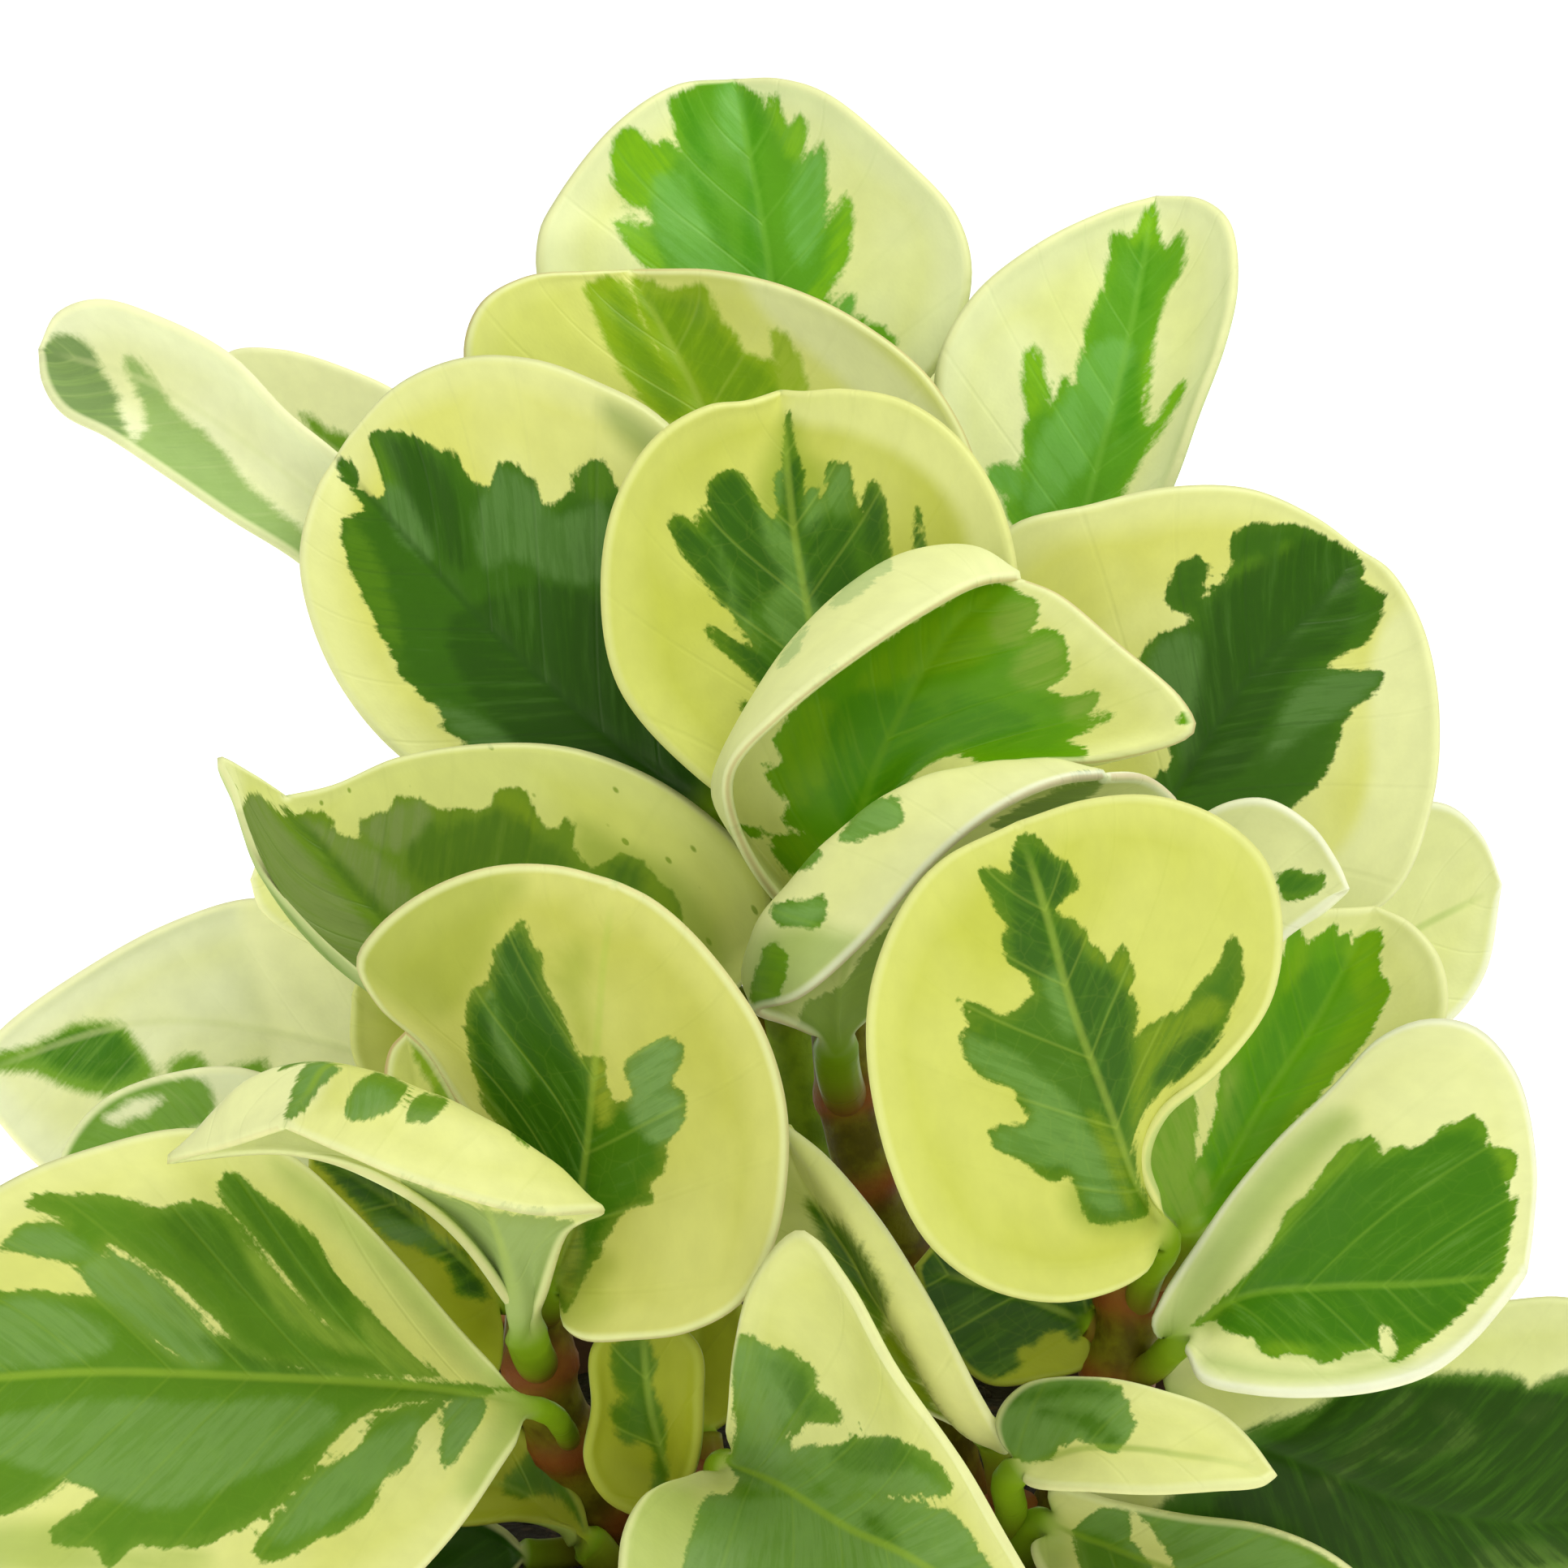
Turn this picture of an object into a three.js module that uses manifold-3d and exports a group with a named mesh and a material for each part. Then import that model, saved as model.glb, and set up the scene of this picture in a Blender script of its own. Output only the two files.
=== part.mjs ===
// Potted variegated peperomia: a bushy houseplant with thick spoon shaped leaves, in a plain clay pot.
// Millimetres, +Z up, origin at the centre of the pot's underside, -Y towards the front.
import * as THREE from 'three';
import { mergeVertices } from 'three/addons/utils/BufferGeometryUtils.js';
import Module from 'manifold-3d';

const wasm = await Module();
wasm.setup();

// Driving dimensions of the pot and its soil
const POT_HEIGHT = 110;
const POT_FOOT_RADIUS = 47;
const POT_RIM_RADIUS = 65;
const POT_RIM_HEIGHT = 24;
const POT_WALL = 6;
const POT_FLOOR = 9;
const POT_SIDES = 40;
const DRAIN_RADIUS = 4;
const DRAIN_CIRCLE = 27;
const DRAIN_COUNT = 4;
const SOIL_TOP = 100;
const SOIL_MOUND = 2.5;
const SOIL_SHOULDER = 30;
const FIT_GAP = 0.3;
const HOLE_SIDES = 16;

// Driving dimensions of the plant
const STEM_SIDES = 8;
const STEM_FOOT_DEPTH = 24;
const JOINT_SWELL = 1.22;
const PETIOLE_RADIUS = 1.7;
const BLADE_THICKNESS = 1.2;
const TIP_WIDTH = 1.4;
const BLADE_STATIONS = 9;
const RING_POINTS = 10;

// Leaves out of the front view: petiole run and climb, and the blade's droop, cup and half outline
const PETIOLE_RUN = 0.8;
const PETIOLE_CLIMB = 0.5;
const BLADE_DROOP = 0.22;
const BLADE_CUP = 3;
const HALF_OUTLINE = [[0.04, 0.45], [0.22, 0.86], [0.5, 1], [0.76, 0.84], [0.93, 0.45]];

// The front view: leaves are laid out on an upright drawing seen 20 degrees from above.
// Across and down are millimetres from the drawing's top left corner, and depth is towards the viewer.
const VIEW_TILT = THREE.MathUtils.degToRad(20);
const VIEW_DISTANCE = 900;
const VIEW_HALF = 96.6;
const VIEW_CENTRE = new THREE.Vector3(0, 0, 203);
const VIEW_UP = new THREE.Vector3(0, Math.sin(VIEW_TILT), Math.cos(VIEW_TILT));
const VIEW_NEAR = new THREE.Vector3(0, -Math.cos(VIEW_TILT), Math.sin(VIEW_TILT));

const COLOURS = { clay: '#b5683f', soil: '#2b211a', stem: '#6b4a22', leaf: '#b9c65c' };

const plant = new THREE.Group();

// A point of the front view, as a place in space
function seen([across, down, depth]) {
  const spread = (VIEW_DISTANCE - depth) / VIEW_DISTANCE;
  return VIEW_CENTRE.clone()
    .add(new THREE.Vector3((across - VIEW_HALF) * spread, 0, 0))
    .addScaledVector(VIEW_UP, (VIEW_HALF - down) * spread)
    .addScaledVector(VIEW_NEAR, depth);
}

function smoothCurve(points) {
  return new THREE.CatmullRomCurve3(points, false, 'centripetal');
}

// Closes a row of rings into one solid. The second half of each ring is the underside,
// and its quads are split along the same diagonals as those above them.
function skin(rings) {
  const count = rings[0].length;
  const half = count / 2;
  const places = rings.flat().flatMap((p) => [p.x, p.y, p.z]);
  const faces = [];
  for (let i = 0; i < rings.length - 1; i += 1) {
    for (let k = 0; k < count; k += 1) {
      const next = (k + 1) % count;
      const [a, b] = [i * count + k, i * count + next];
      const [c, d] = [b + count, a + count];
      if (k < half) faces.push(a, b, c, a, c, d);
      else faces.push(a, b, d, b, c, d);
    }
  }
  const last = (rings.length - 1) * count;
  for (let k = 0; k < half - 1; k += 1) {
    const [p, q, r, s] = [k, k + 1, count - 2 - k, count - 1 - k];
    faces.push(p, r, q, p, s, r);
    faces.push(last + p, last + q, last + r, last + p, last + r, last + s);
  }
  return turnedOut(places, faces);
}

// Signed volume tells which way the faces point, and they are turned to point out
function turnedOut(places, faces) {
  const at = (n) => new THREE.Vector3(places[3 * n], places[3 * n + 1], places[3 * n + 2]);
  let volume = 0;
  for (let i = 0; i < faces.length; i += 3) {
    volume += at(faces[i]).dot(at(faces[i + 1]).cross(at(faces[i + 2])));
  }
  if (volume < 0) {
    for (let i = 0; i < faces.length; i += 3) [faces[i], faces[i + 1]] = [faces[i + 1], faces[i]];
  }
  const geometry = new THREE.BufferGeometry();
  geometry.setAttribute('position', new THREE.Float32BufferAttribute(places, 3));
  geometry.setIndex(faces);
  return geometry;
}

function solidOf(geometry) {
  const bare = geometry.clone();
  bare.deleteAttribute('normal');
  bare.deleteAttribute('uv');
  const merged = mergeVertices(bare, 1e-4);
  const mesh = { numProp: 3, vertProperties: merged.attributes.position.array, triVerts: merged.index.array };
  return new wasm.Manifold(new wasm.Mesh(mesh));
}

function geometryOf(solid) {
  const mesh = solid.getMesh();
  const geometry = new THREE.BufferGeometry();
  geometry.setAttribute('position', new THREE.Float32BufferAttribute(mesh.vertProperties, 3));
  geometry.setIndex([...mesh.triVerts]);
  return geometry;
}

function addPiece(name, geometry, color, roughness) {
  const material = new THREE.MeshStandardMaterial({ color, roughness, metalness: 0 });
  const mesh = new THREE.Mesh(geometry, material);
  mesh.name = name;
  plant.add(mesh);
}

// Stems: each runs up its axis points, vertical where it stands in the soil, with a swollen ring at each joint
const STEMS = {
  stem_centre: { axis: [[118, 188, -38], [112, 156, -22], [107, 145, -15], [104.5, 135, -12],
    [103, 118, -10], [101, 98, -10], [98.7, 73, -13]], radius: 3.2 },
  stem_left: { axis: [[80, 195, -28], [74, 186, -18], [69.5, 177, -9], [66.5, 168, -3], [67, 154, -4],
    [68, 138, -7], [68, 120, -10], [66, 104, -14], [64, 92, -18]], radius: 3.8 },
  stem_right: { axis: [[128, 196, -25], [134, 180, -12], [137.8, 169, -4], [139.5, 160, -1], [138.5, 149, -3],
    [135, 134, -5], [132, 118, -9], [130, 94, -15]], radius: 3.2 },
  stem_front_right: { axis: [[125, 199, -14], [124.6, 190, -6], [124, 185, -3]], radius: 2.8 },
  stem_front_left: { axis: [[86, 198, -15], [87.5, 188, -8], [88.5, 181, -4]], radius: 2.8 },
  stem_back: { world: [[6, 30, 100], [4, 38, 130], [0, 44, 160], [-2, 46, 188], [-3, 46, 209]], radius: 3.2 },
};

function stemAxis(stem) {
  const points = stem.world ? stem.world.map((p) => new THREE.Vector3(...p)) : stem.axis.map(seen);
  points[0].z = SOIL_TOP + SOIL_MOUND + 1;
  const foot = points[0].clone();
  foot.z = SOIL_TOP - STEM_FOOT_DEPTH;
  return [foot, ...points];
}

function stemSolid(points, radius) {
  const rings = [];
  const addRing = (centre, along, size) => {
    const side = new THREE.Vector3(1, 0, 0).cross(along).normalize();
    const front = along.clone().cross(side).normalize();
    rings.push(Array.from({ length: STEM_SIDES }, (_, k) => {
      const angle = (2 * Math.PI * (k + 0.5)) / STEM_SIDES;
      return centre.clone().addScaledVector(side, size * Math.cos(angle))
        .addScaledVector(front, size * Math.sin(angle));
    }));
  };
  const up = new THREE.Vector3(0, 0, 1);
  addRing(points[0], up, radius);
  addRing(points[1], up, radius);
  const curve = smoothCurve(points.slice(1));
  const joints = points.length - 2;
  for (let n = 1; n <= joints; n += 1) {
    const t = n / joints;
    const between = t - 0.5 / joints;
    addRing(curve.getPoint(between), curve.getTangent(between), radius);
    const swell = n === joints ? 1 : JOINT_SWELL;
    addRing(curve.getPoint(t), curve.getTangent(t), radius * swell);
  }
  return skin(rings);
}

// Leaves: the upper face looks along (right minus left) cross (tip minus base).
// depth holds base, middle and tip of the rib, and lean is how far the margins stand nearer than the rib.
const LEAVES = [
  { name: 'leaf_crown_back', stem: 'stem_centre', petiole: [[98.9, 78.5, -12.5], [99, 71.5, -27]],
    base: [95.8, 53], rib: [[95, 35]], tip: [90.5, 9.7],
    left: [[80, 47], [67, 36], [66.4, 29], [68.5, 24.5], [75.5, 15.5], [83, 10.5]],
    right: [[108, 52], [117, 43.5], [119.9, 34], [118, 26.5], [111, 19], [102, 11.7], [96, 9.7]],
    depth: [-36, -42, -52], lean: [4, 4] },
  { name: 'leaf_crown_wide', stem: 'stem_centre', petiole: [[98.4, 73.2, -13]],
    base: [93, 68], rib: [[86.2, 49.6]], tip: [77.6, 33.2],
    left: [[74, 63], [61, 53], [57.2, 44], [59.2, 37.4], [65, 34], [72, 33.4]],
    right: [[108, 71], [119, 66], [120.5, 58.5], [115, 47], [106, 39.5], [97, 35.2], [88, 33.2], [82, 33.1]],
    depth: [-20, -26, -31], lean: [3, 3] },
  { name: 'leaf_upper_left_rolled', stem: 'stem_left', petiole: [[64.2, 94, -17.5]],
    base: [54, 74], rib: [[36, 59], [19, 47.5]], tip: [4.7, 43],
    left: [[50, 63], [41.2, 55.5], [35, 50.8], [28, 43.8], [20, 39.3], [12, 36.7], [7, 38.5]],
    right: [[47, 78], [36.8, 69.3], [28, 64], [20, 58.5], [13, 53.6], [7.6, 50.6], [5.2, 47]],
    depth: [-26, -30, -34], lean: [3, 5] },
  { name: 'leaf_upper_left_pale', stem: 'stem_left', petiole: [[66.2, 105, -13.8], [62, 92, -27]],
    base: [60, 72], rib: [[42, 56]], tip: [26, 46],
    left: [[50, 74], [38, 67], [29, 56]],
    right: [[58, 58], [50, 49], [43, 45.4], [35, 43], [28.5, 43.2]],
    depth: [-38, -44, -48], lean: [1, 1] },
  { name: 'leaf_upper_right_long', stem: 'stem_right', petiole: [[130.2, 96, -14.5]],
    base: [130, 75], rib: [[134.5, 60], [139, 42]], tip: [142.5, 24.1],
    left: [[121, 67], [115.8, 54], [115.6, 44.5], [120, 36.3], [128, 29.8], [136, 25.9]],
    right: [[139, 68], [146.5, 53.5], [150.5, 43], [152.3, 34.5], [151.4, 27.4], [148, 24.5]],
    depth: [-27, -34, -43], lean: [4, 4] },
  { name: 'leaf_left_dark', stem: 'stem_centre', petiole: [[101.4, 103, -10]],
    base: [89, 100.5], rib: [[80.8, 95.3], [63.4, 80.6], [48.7, 64.8]], tip: [41.3, 56.3],
    left: [[78, 103], [62, 101], [49.3, 93.2], [42, 84.5], [38, 75.5], [36.9, 68], [38.8, 60.5]],
    right: [[91, 90], [90, 72], [87, 58], [81, 51], [74, 47.2], [66, 44.3], [57.2, 44], [49, 47.3], [43.5, 53]],
    depth: [-4, -11, -18], lean: [2, -3] },
  { name: 'leaf_centre_round', stem: 'stem_centre', petiole: [[102.3, 111, -10]],
    base: [103, 102], rib: [[101.5, 86], [97.9, 66]], tip: [96.2, 48],
    left: [[94, 101], [84.5, 94.5], [76.2, 84.5], [74, 73], [75.5, 62], [80.5, 53.8], [87, 49.9], [92, 49.3]],
    right: [[113, 100], [122, 90], [125.6, 76], [124, 64], [119, 55], [112, 49.6], [104, 47.9], [99, 48.2]],
    depth: [3, -2, -8], lean: [4, 3] },
  { name: 'leaf_centre_hood', stem: 'stem_centre', petiole: [[103.8, 128, -11]],
    base: [103.5, 117, 1], rib: [[106, 100, 9], [111, 88, 10], [118, 77, 11]], tip: [125.8, 71.3, 16],
    left: [[97, 112, 6], [91, 102, 14], [90, 95, 20], [96, 88, 24], [106, 80.3, 25], [115, 74.8, 23],
      [121, 72, 19]],
    leftFold: [[99, 112, 1], [92, 103, 3], [88.7, 97, 6], [92, 89, 8], [97, 78.8, 9], [104, 72.2, 9],
      [112, 68.6, 10], [120, 67.9, 12]],
    rightFold: [[106.5, 107, 4], [111, 96.5, 9], [119.5, 88, 12.5], [127, 81.5, 15], [128.2, 75.5, 16]],
    right: [[109, 110, 6], [117, 98.5, 13.5], [125, 94.3, 20], [137, 93.4, 22], [147.2, 90, 22], [146, 86.6, 21],
      [138, 79.4, 19], [130.5, 73.2, 17]] },
  { name: 'leaf_right_dark', stem: 'stem_right', petiole: [[131.4, 112, -11]],
    base: [139, 107], rib: [[147, 94], [155, 82], [163, 74]], tip: [167.5, 67.6],
    left: [[128, 101], [119, 86], [118, 73], [124.5, 64.8], [134, 62.2], [144, 60], [154, 60.2], [162, 63.6]],
    right: [[151, 113], [163, 115], [172, 110], [176.5, 99], [177.4, 88], [175.5, 77.5], [171.5, 70.4]],
    depth: [-5, -9, -15], lean: [3, 2] },
  { name: 'leaf_centre_curled', stem: 'stem_centre', petiole: [[104.5, 136, -12], [103.5, 133, -5]],
    base: [103, 129, 2], rib: [[103.5, 121, 8], [108, 110, 14], [118, 101, 20], [128, 97.4, 26]],
    tip: [136.5, 95.7, 32],
    left: [[109, 124, 6], [122, 119, 12], [137, 110, 18], [145.5, 100, 24], [142, 95.9, 28]],
    leftFold: [[106, 123, 7], [114, 114, 13], [126, 106, 18], [137, 100, 24], [139, 96.2, 28]],
    rightFold: [[98, 124, 9], [92.6, 120.5, 13], [93.2, 115, 17], [98, 108.4, 21], [104, 102.3, 24],
      [112, 97, 27], [121, 94.7, 28], [130, 94.2, 29]],
    right: [[96.5, 126, 12], [93.6, 124.6, 18], [98.5, 123, 23], [106, 116.5, 28], [115, 106.5, 32],
      [123, 100.2, 34], [131, 96.5, 34]] },
  { name: 'leaf_left_folded', stem: 'stem_left', petiole: [[68, 133, -8]],
    base: [67, 131], rib: [[57, 121.5], [47, 113], [41.5, 107]], tip: [35.2, 98],
    left: [[61, 131.5], [54, 127.5], [46, 121], [38, 114], [31.5, 106], [28.4, 97.5], [26.8, 93.2], [31, 95.2]],
    right: [[80, 128.5], [93.5, 119], [95, 111], [92, 105], [86, 99.3], [79, 95], [70, 92], [60, 91.6],
      [49, 93.3], [41, 96.7]],
    depth: [4, 4, 4], lean: [3, -3] },
  { name: 'leaf_front_left_round', stem: 'stem_left', petiole: [[66.6, 163, -3.5]],
    base: [68.8, 158], rib: [[71.5, 148], [73.3, 132], [74.5, 118]], tip: [75.8, 108.5],
    left: [[66.5, 152], [61, 143], [56, 135], [52, 129], [46.5, 124], [43.8, 118.5], [46, 114.5], [52, 109.8],
      [60, 106.8], [68, 106.6]],
    right: [[69.3, 163], [72, 165.2], [78, 165.2], [85, 164.2], [91.5, 160.5], [95.5, 153], [97, 143],
      [96.5, 135], [94, 127], [90, 120.5], [85, 114.5], [80.5, 110.8]],
    depth: [10, 22, 30], lean: [6, 6] },
  { name: 'leaf_front_right_round', stem: 'stem_right', petiole: [[139.6, 163, -2], [141.5, 157, 8]],
    base: [143.5, 152.5], rib: [[140.6, 146], [137, 137], [132, 124], [129, 113]],
    tip: [125.3, 101.2],
    left: [[141.8, 156.3], [137, 159.2], [129.7, 160.5], [121, 158.5], [114, 153], [109.5, 144],
      [106.8, 131], [107.3, 121.5], [111, 112], [116, 106]],
    right: [[145, 149], [143.2, 142.5], [144.6, 137.3], [150, 132], [156.5, 123.5], [158, 114], [156, 106],
      [150, 100.5], [142, 97.9], [134, 98.4]],
    depth: [18, 32, 38], lean: [6, 4] },
  { name: 'leaf_right_small', stem: 'stem_right', petiole: [[134.8, 133, -5]],
    base: [141, 124], rib: [[151, 112.4]], tip: [166.3, 109.5],
    left: [[141, 112], [148, 100.5], [155.5, 98.3], [161.5, 101.5], [164.8, 106]],
    right: [[150, 126], [158.3, 115.8], [163, 112]],
    depth: [7, 12, 12], lean: [1, 1] },
  { name: 'leaf_right_pale', stem: 'stem_right', petiole: [[132.4, 121, -8.5]],
    base: [160, 126], rib: [[172, 116]], tip: [185.1, 109],
    left: [[163, 109], [171, 99.7], [178, 99], [182.5, 102.8]],
    right: [[170, 130], [178, 126.5], [183, 120]],
    depth: [-30, -36, -40], lean: [1, 1] },
  { name: 'leaf_right_bright', stem: 'stem_right', petiole: [[139.7, 159, -1]],
    base: [146, 152.5], rib: [[151, 144], [156, 135], [162, 126]], tip: [169.5, 111.6],
    left: [[142, 149], [140.5, 140], [145, 130], [152, 120.5], [160, 113]],
    right: [[156, 149], [168, 142], [176, 131], [178.5, 124], [177.5, 118], [174, 113.8]],
    depth: [5, 5, 2], lean: [3, 2] },
  { name: 'leaf_right_spoon', stem: 'stem_right', petiole: [[138, 168.5, -4], [141, 166.5, 3]],
    base: [144.5, 164.3], rib: [[153, 160], [163, 158.7], [176, 158.2]], tip: [188.2, 156.8],
    left: [[146.5, 157], [151, 148.5], [157, 141.3], [164, 134], [170, 127.8], [176, 125.5], [182, 126.6],
      [187, 132.5], [189.3, 143], [189, 151]],
    right: [[146.2, 167], [148, 170.2], [154, 171.6], [162, 172], [170, 171.2], [177, 169], [182, 165],
      [186, 160]],
    depth: [9, 17, 22], lean: [-4, 8] },
  { name: 'leaf_left_back_pale', stem: 'stem_left', petiole: [[68, 138, -7]],
    base: [56, 134], rib: [[38, 128], [18, 126]], tip: [-5, 133],
    left: [[49, 146], [34, 151], [18, 149.5], [5, 144.5], [-3, 139]],
    right: [[52, 122], [44, 114.7], [37, 111.2], [30, 110.8], [20, 114], [10, 119.5], [0.5, 126.5]],
    depth: [-18, -22, -26], lean: [2, 1] },
  { name: 'leaf_left_grey', stem: 'stem_left', petiole: [[67, 151, -4.5]],
    base: [47, 147], rib: [[30, 143], [16, 141.5]], tip: [6.5, 145.5],
    left: [[40, 155], [24, 157], [11, 152]],
    right: [[40, 136.5], [30, 131.6], [21, 132.2], [13, 135.3], [8.3, 140.5]],
    depth: [-4, 0, 2], lean: [0, 0] },
  { name: 'leaf_left_near', stem: 'stem_left', petiole: [[70.2, 178, -10], [66.5, 174, 4]],
    base: [62, 171.5], rib: [[50, 170.7], [30, 169.6], [10, 169.1]], tip: [-14, 171],
    left: [[63.7, 175], [62, 180.5], [56, 189], [48, 197], [36, 203], [20, 205], [4, 200], [-8, 189],
      [-13, 180]],
    right: [[60, 165.5], [53, 157], [45, 148], [38, 142.5], [30, 139.8], [22, 139], [12, 141.2], [2, 145],
      [-8, 152], [-13, 161]],
    depth: [16, 32, 44], lean: [6, -4] },
  { name: 'leaf_left_horn', stem: 'stem_left', petiole: [[66.5, 168.5, -3]],
    base: [65, 165, 13], rib: [[61, 150, 24], [52, 136, 32], [41, 131.6, 36], [38, 135, 40]],
    tip: [35, 139, 44],
    left: [[67, 160, 18], [70, 152, 28], [74.4, 149.4, 36], [65, 149.4, 44], [50, 145.4, 46], [43, 142.6, 46]],
    leftFold: [[66, 160, 16], [66, 151, 25], [70, 146, 33], [60, 139, 38], [48, 137, 42], [41, 138, 44]],
    rightFold: [[63, 160, 15], [56, 150, 22], [49.5, 145.4, 28], [38, 133, 33], [30, 134, 36], [31, 138, 40]],
    right: [[62.5, 160, 18], [52, 150, 26], [40, 145, 32], [24, 143, 34], [20.4, 143, 36], [27, 141.4, 41]] },
  { name: 'sprout_left', stem: 'stem_left', petiole: [[67.6, 146, -5.5]],
    base: [54.6, 143.6], rib: [[51.5, 135]], tip: [50, 127],
    left: [[50.4, 141], [47.6, 134.5], [48, 129.5]],
    right: [[59.6, 142], [56.5, 135.2], [53, 129.6]],
    depth: [12, 13, 15], lean: [1, 1] },
  { name: 'leaf_left_shaded', stem: 'stem_left', petiole: [[67, 157, -4]],
    base: [61, 157], rib: [[51, 150]], tip: [38, 141],
    left: [[55, 165], [46, 162], [38.5, 151]],
    right: [[63, 153], [57, 148], [48.5, 143], [42, 140.3]],
    depth: [4, 10, 14], lean: [0, 0] },
  { name: 'leaf_front_small_cup', stem: 'stem_front_left', petiole: [[87.6, 187, -7.5]],
    base: [83, 181], rib: [[80, 172]], tip: [79, 160],
    left: [[76.5, 181], [73, 178.5], [72.3, 173], [72.8, 166]],
    right: [[85.2, 178.5], [86.3, 173], [86, 166]],
    depth: [-1, 7, 10], lean: [3, 3] },
  { name: 'leaf_front_low', stem: 'stem_front_left', petiole: [[88.4, 182.5, -5]],
    base: [89.5, 180.5], rib: [[96, 183], [105, 188.5], [113, 192.3]], tip: [133, 206],
    left: [[89.6, 175], [90.3, 166], [93, 157], [98.8, 151.4], [104, 157], [110, 168], [117.5, 179],
      [122.5, 188], [128.5, 198]],
    right: [[84.5, 182.3], [79, 184.6], [76.3, 191], [78, 203], [90, 213], [108, 216], [124, 212]],
    depth: [12, 38, 54], lean: [4, 6] },
  { name: 'leaf_front_narrow', stem: 'stem_front_right', petiole: [[123.9, 185.5, -3]],
    base: [122, 177, 4], rib: [[112, 166, 12], [104, 153, 12], [99, 145, 12]], tip: [96.7, 138.4, 16],
    left: [[114, 174, 6], [104, 166, 10], [97, 154, 10], [95.5, 145, 12]],
    leftFold: [[114, 171, 8], [107, 161, 10], [99, 150, 10], [96.5, 143, 12]],
    rightFold: [[117.5, 175, 12], [111, 162, 20], [104.5, 149, 20], [99.5, 142.5, 18]],
    right: [[124.6, 178.6, 12], [120, 170, 18], [113.5, 158, 20], [108, 149.5, 20], [102, 142.5, 18]] },
  { name: 'leaf_front_level', stem: 'stem_front_right', petiole: [[124.9, 190, -6.5], [124.6, 186, 7]],
    base: [125, 181.4], rib: [[134, 178.6], [146, 179.6]], tip: [157.4, 181.8],
    left: [[122.6, 175], [126, 170.6], [135, 169.8], [143, 171.5], [150, 174], [154.2, 177.6]],
    right: [[127, 183.1], [134, 183.6], [142, 183.9], [150, 183.4], [155.5, 183]],
    depth: [18, 22, 24], lean: [-6, 4] },
  { name: 'leaf_middle_shaded', stem: 'stem_right', petiole: [[138.5, 166.5, -3]],
    base: [134.2, 163], rib: [[124, 159]], tip: [112.6, 156],
    left: [[134.4, 168], [129, 170], [121.5, 170.5], [115, 163.5]],
    right: [[135.4, 155], [126, 150], [117, 151.5]],
    depth: [-3, -2, 1], lean: [0, 0] },
  { name: 'leaf_right_low_dark', stem: 'stem_right', petiole: [[136.4, 173, -7]],
    base: [146, 173], rib: [[160, 180], [176, 186], [193, 187]], tip: [211, 178],
    left: [[152, 166], [168, 160], [184, 160.2], [193, 159.8], [203, 163]],
    right: [[148, 180], [158, 192], [175, 202], [193, 205], [206, 195]],
    depth: [4, 2, -4], lean: [-6, 2] },
  { name: 'leaf_right_low_front', stem: 'stem_front_right', petiole: [[125.2, 196, -11.5]],
    base: [130.5, 188.5], rib: [[141, 192.4], [156, 198]], tip: [174, 207],
    left: [[132.5, 184.6], [137, 185.1], [146, 186.5], [156, 188], [165, 192], [172, 199]],
    right: [[128.2, 191], [130, 196], [138, 200.5], [150, 208], [164, 211]],
    depth: [6, 15, 22], lean: [-2, 4] },
  { name: 'leaf_low_strap', stem: 'stem_left', petiole: [[75.2, 188, -20]],
    base: [70, 186], rib: [[61, 184]], tip: [49, 186],
    left: [[66, 187.8], [58, 187.4], [52, 188.6]],
    right: [[66, 182], [60, 178.6], [53, 180.5]],
    depth: [-12, -8, -5], lean: [0, 0] },
  { name: 'leaf_low_dark', stem: 'stem_left', petiole: [[76.8, 190, -23]],
    base: [69, 189.5], rib: [[57, 188.6]], tip: [46.5, 188],
    left: [[63, 192.2], [55, 192.8], [49, 191.4]],
    right: [[62, 186.2], [54, 185.2], [49, 186]],
    depth: [-18, -15, -12], lean: [0, 0] },
  { name: 'leaf_middle_olive', stem: 'stem_front_left', petiole: [[88, 184, -6]],
    base: [87, 177], rib: [[86, 168]], tip: [86.5, 157],
    left: [[83, 173], [81.5, 166], [83, 160]],
    right: [[91, 174], [92.8, 167], [91, 160]],
    depth: [-10, -12, -14], lean: [1, 1] },
  { name: 'leaf_left_sliver', stem: 'stem_left', petiole: [[68.2, 125, -9.5]],
    base: [50, 116], rib: [[41, 110]], tip: [30.8, 108.4],
    left: [[44, 118], [36, 115.2], [32, 112]],
    right: [[46, 106.5], [38, 103.4], [32.6, 104.6]],
    depth: [-11, -11, -11], lean: [0, 0] },
  { name: 'leaf_left_olive', stem: 'stem_left', petiole: [[68.1, 143, -6.5]],
    base: [63, 138], rib: [[54, 129]], tip: [43.3, 122.5],
    left: [[56, 141], [48, 137.5], [43.4, 130]],
    right: [[60, 124], [53, 117], [46, 116.6]],
    depth: [-6, -7, -8], lean: [0, 0] },
];

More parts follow.
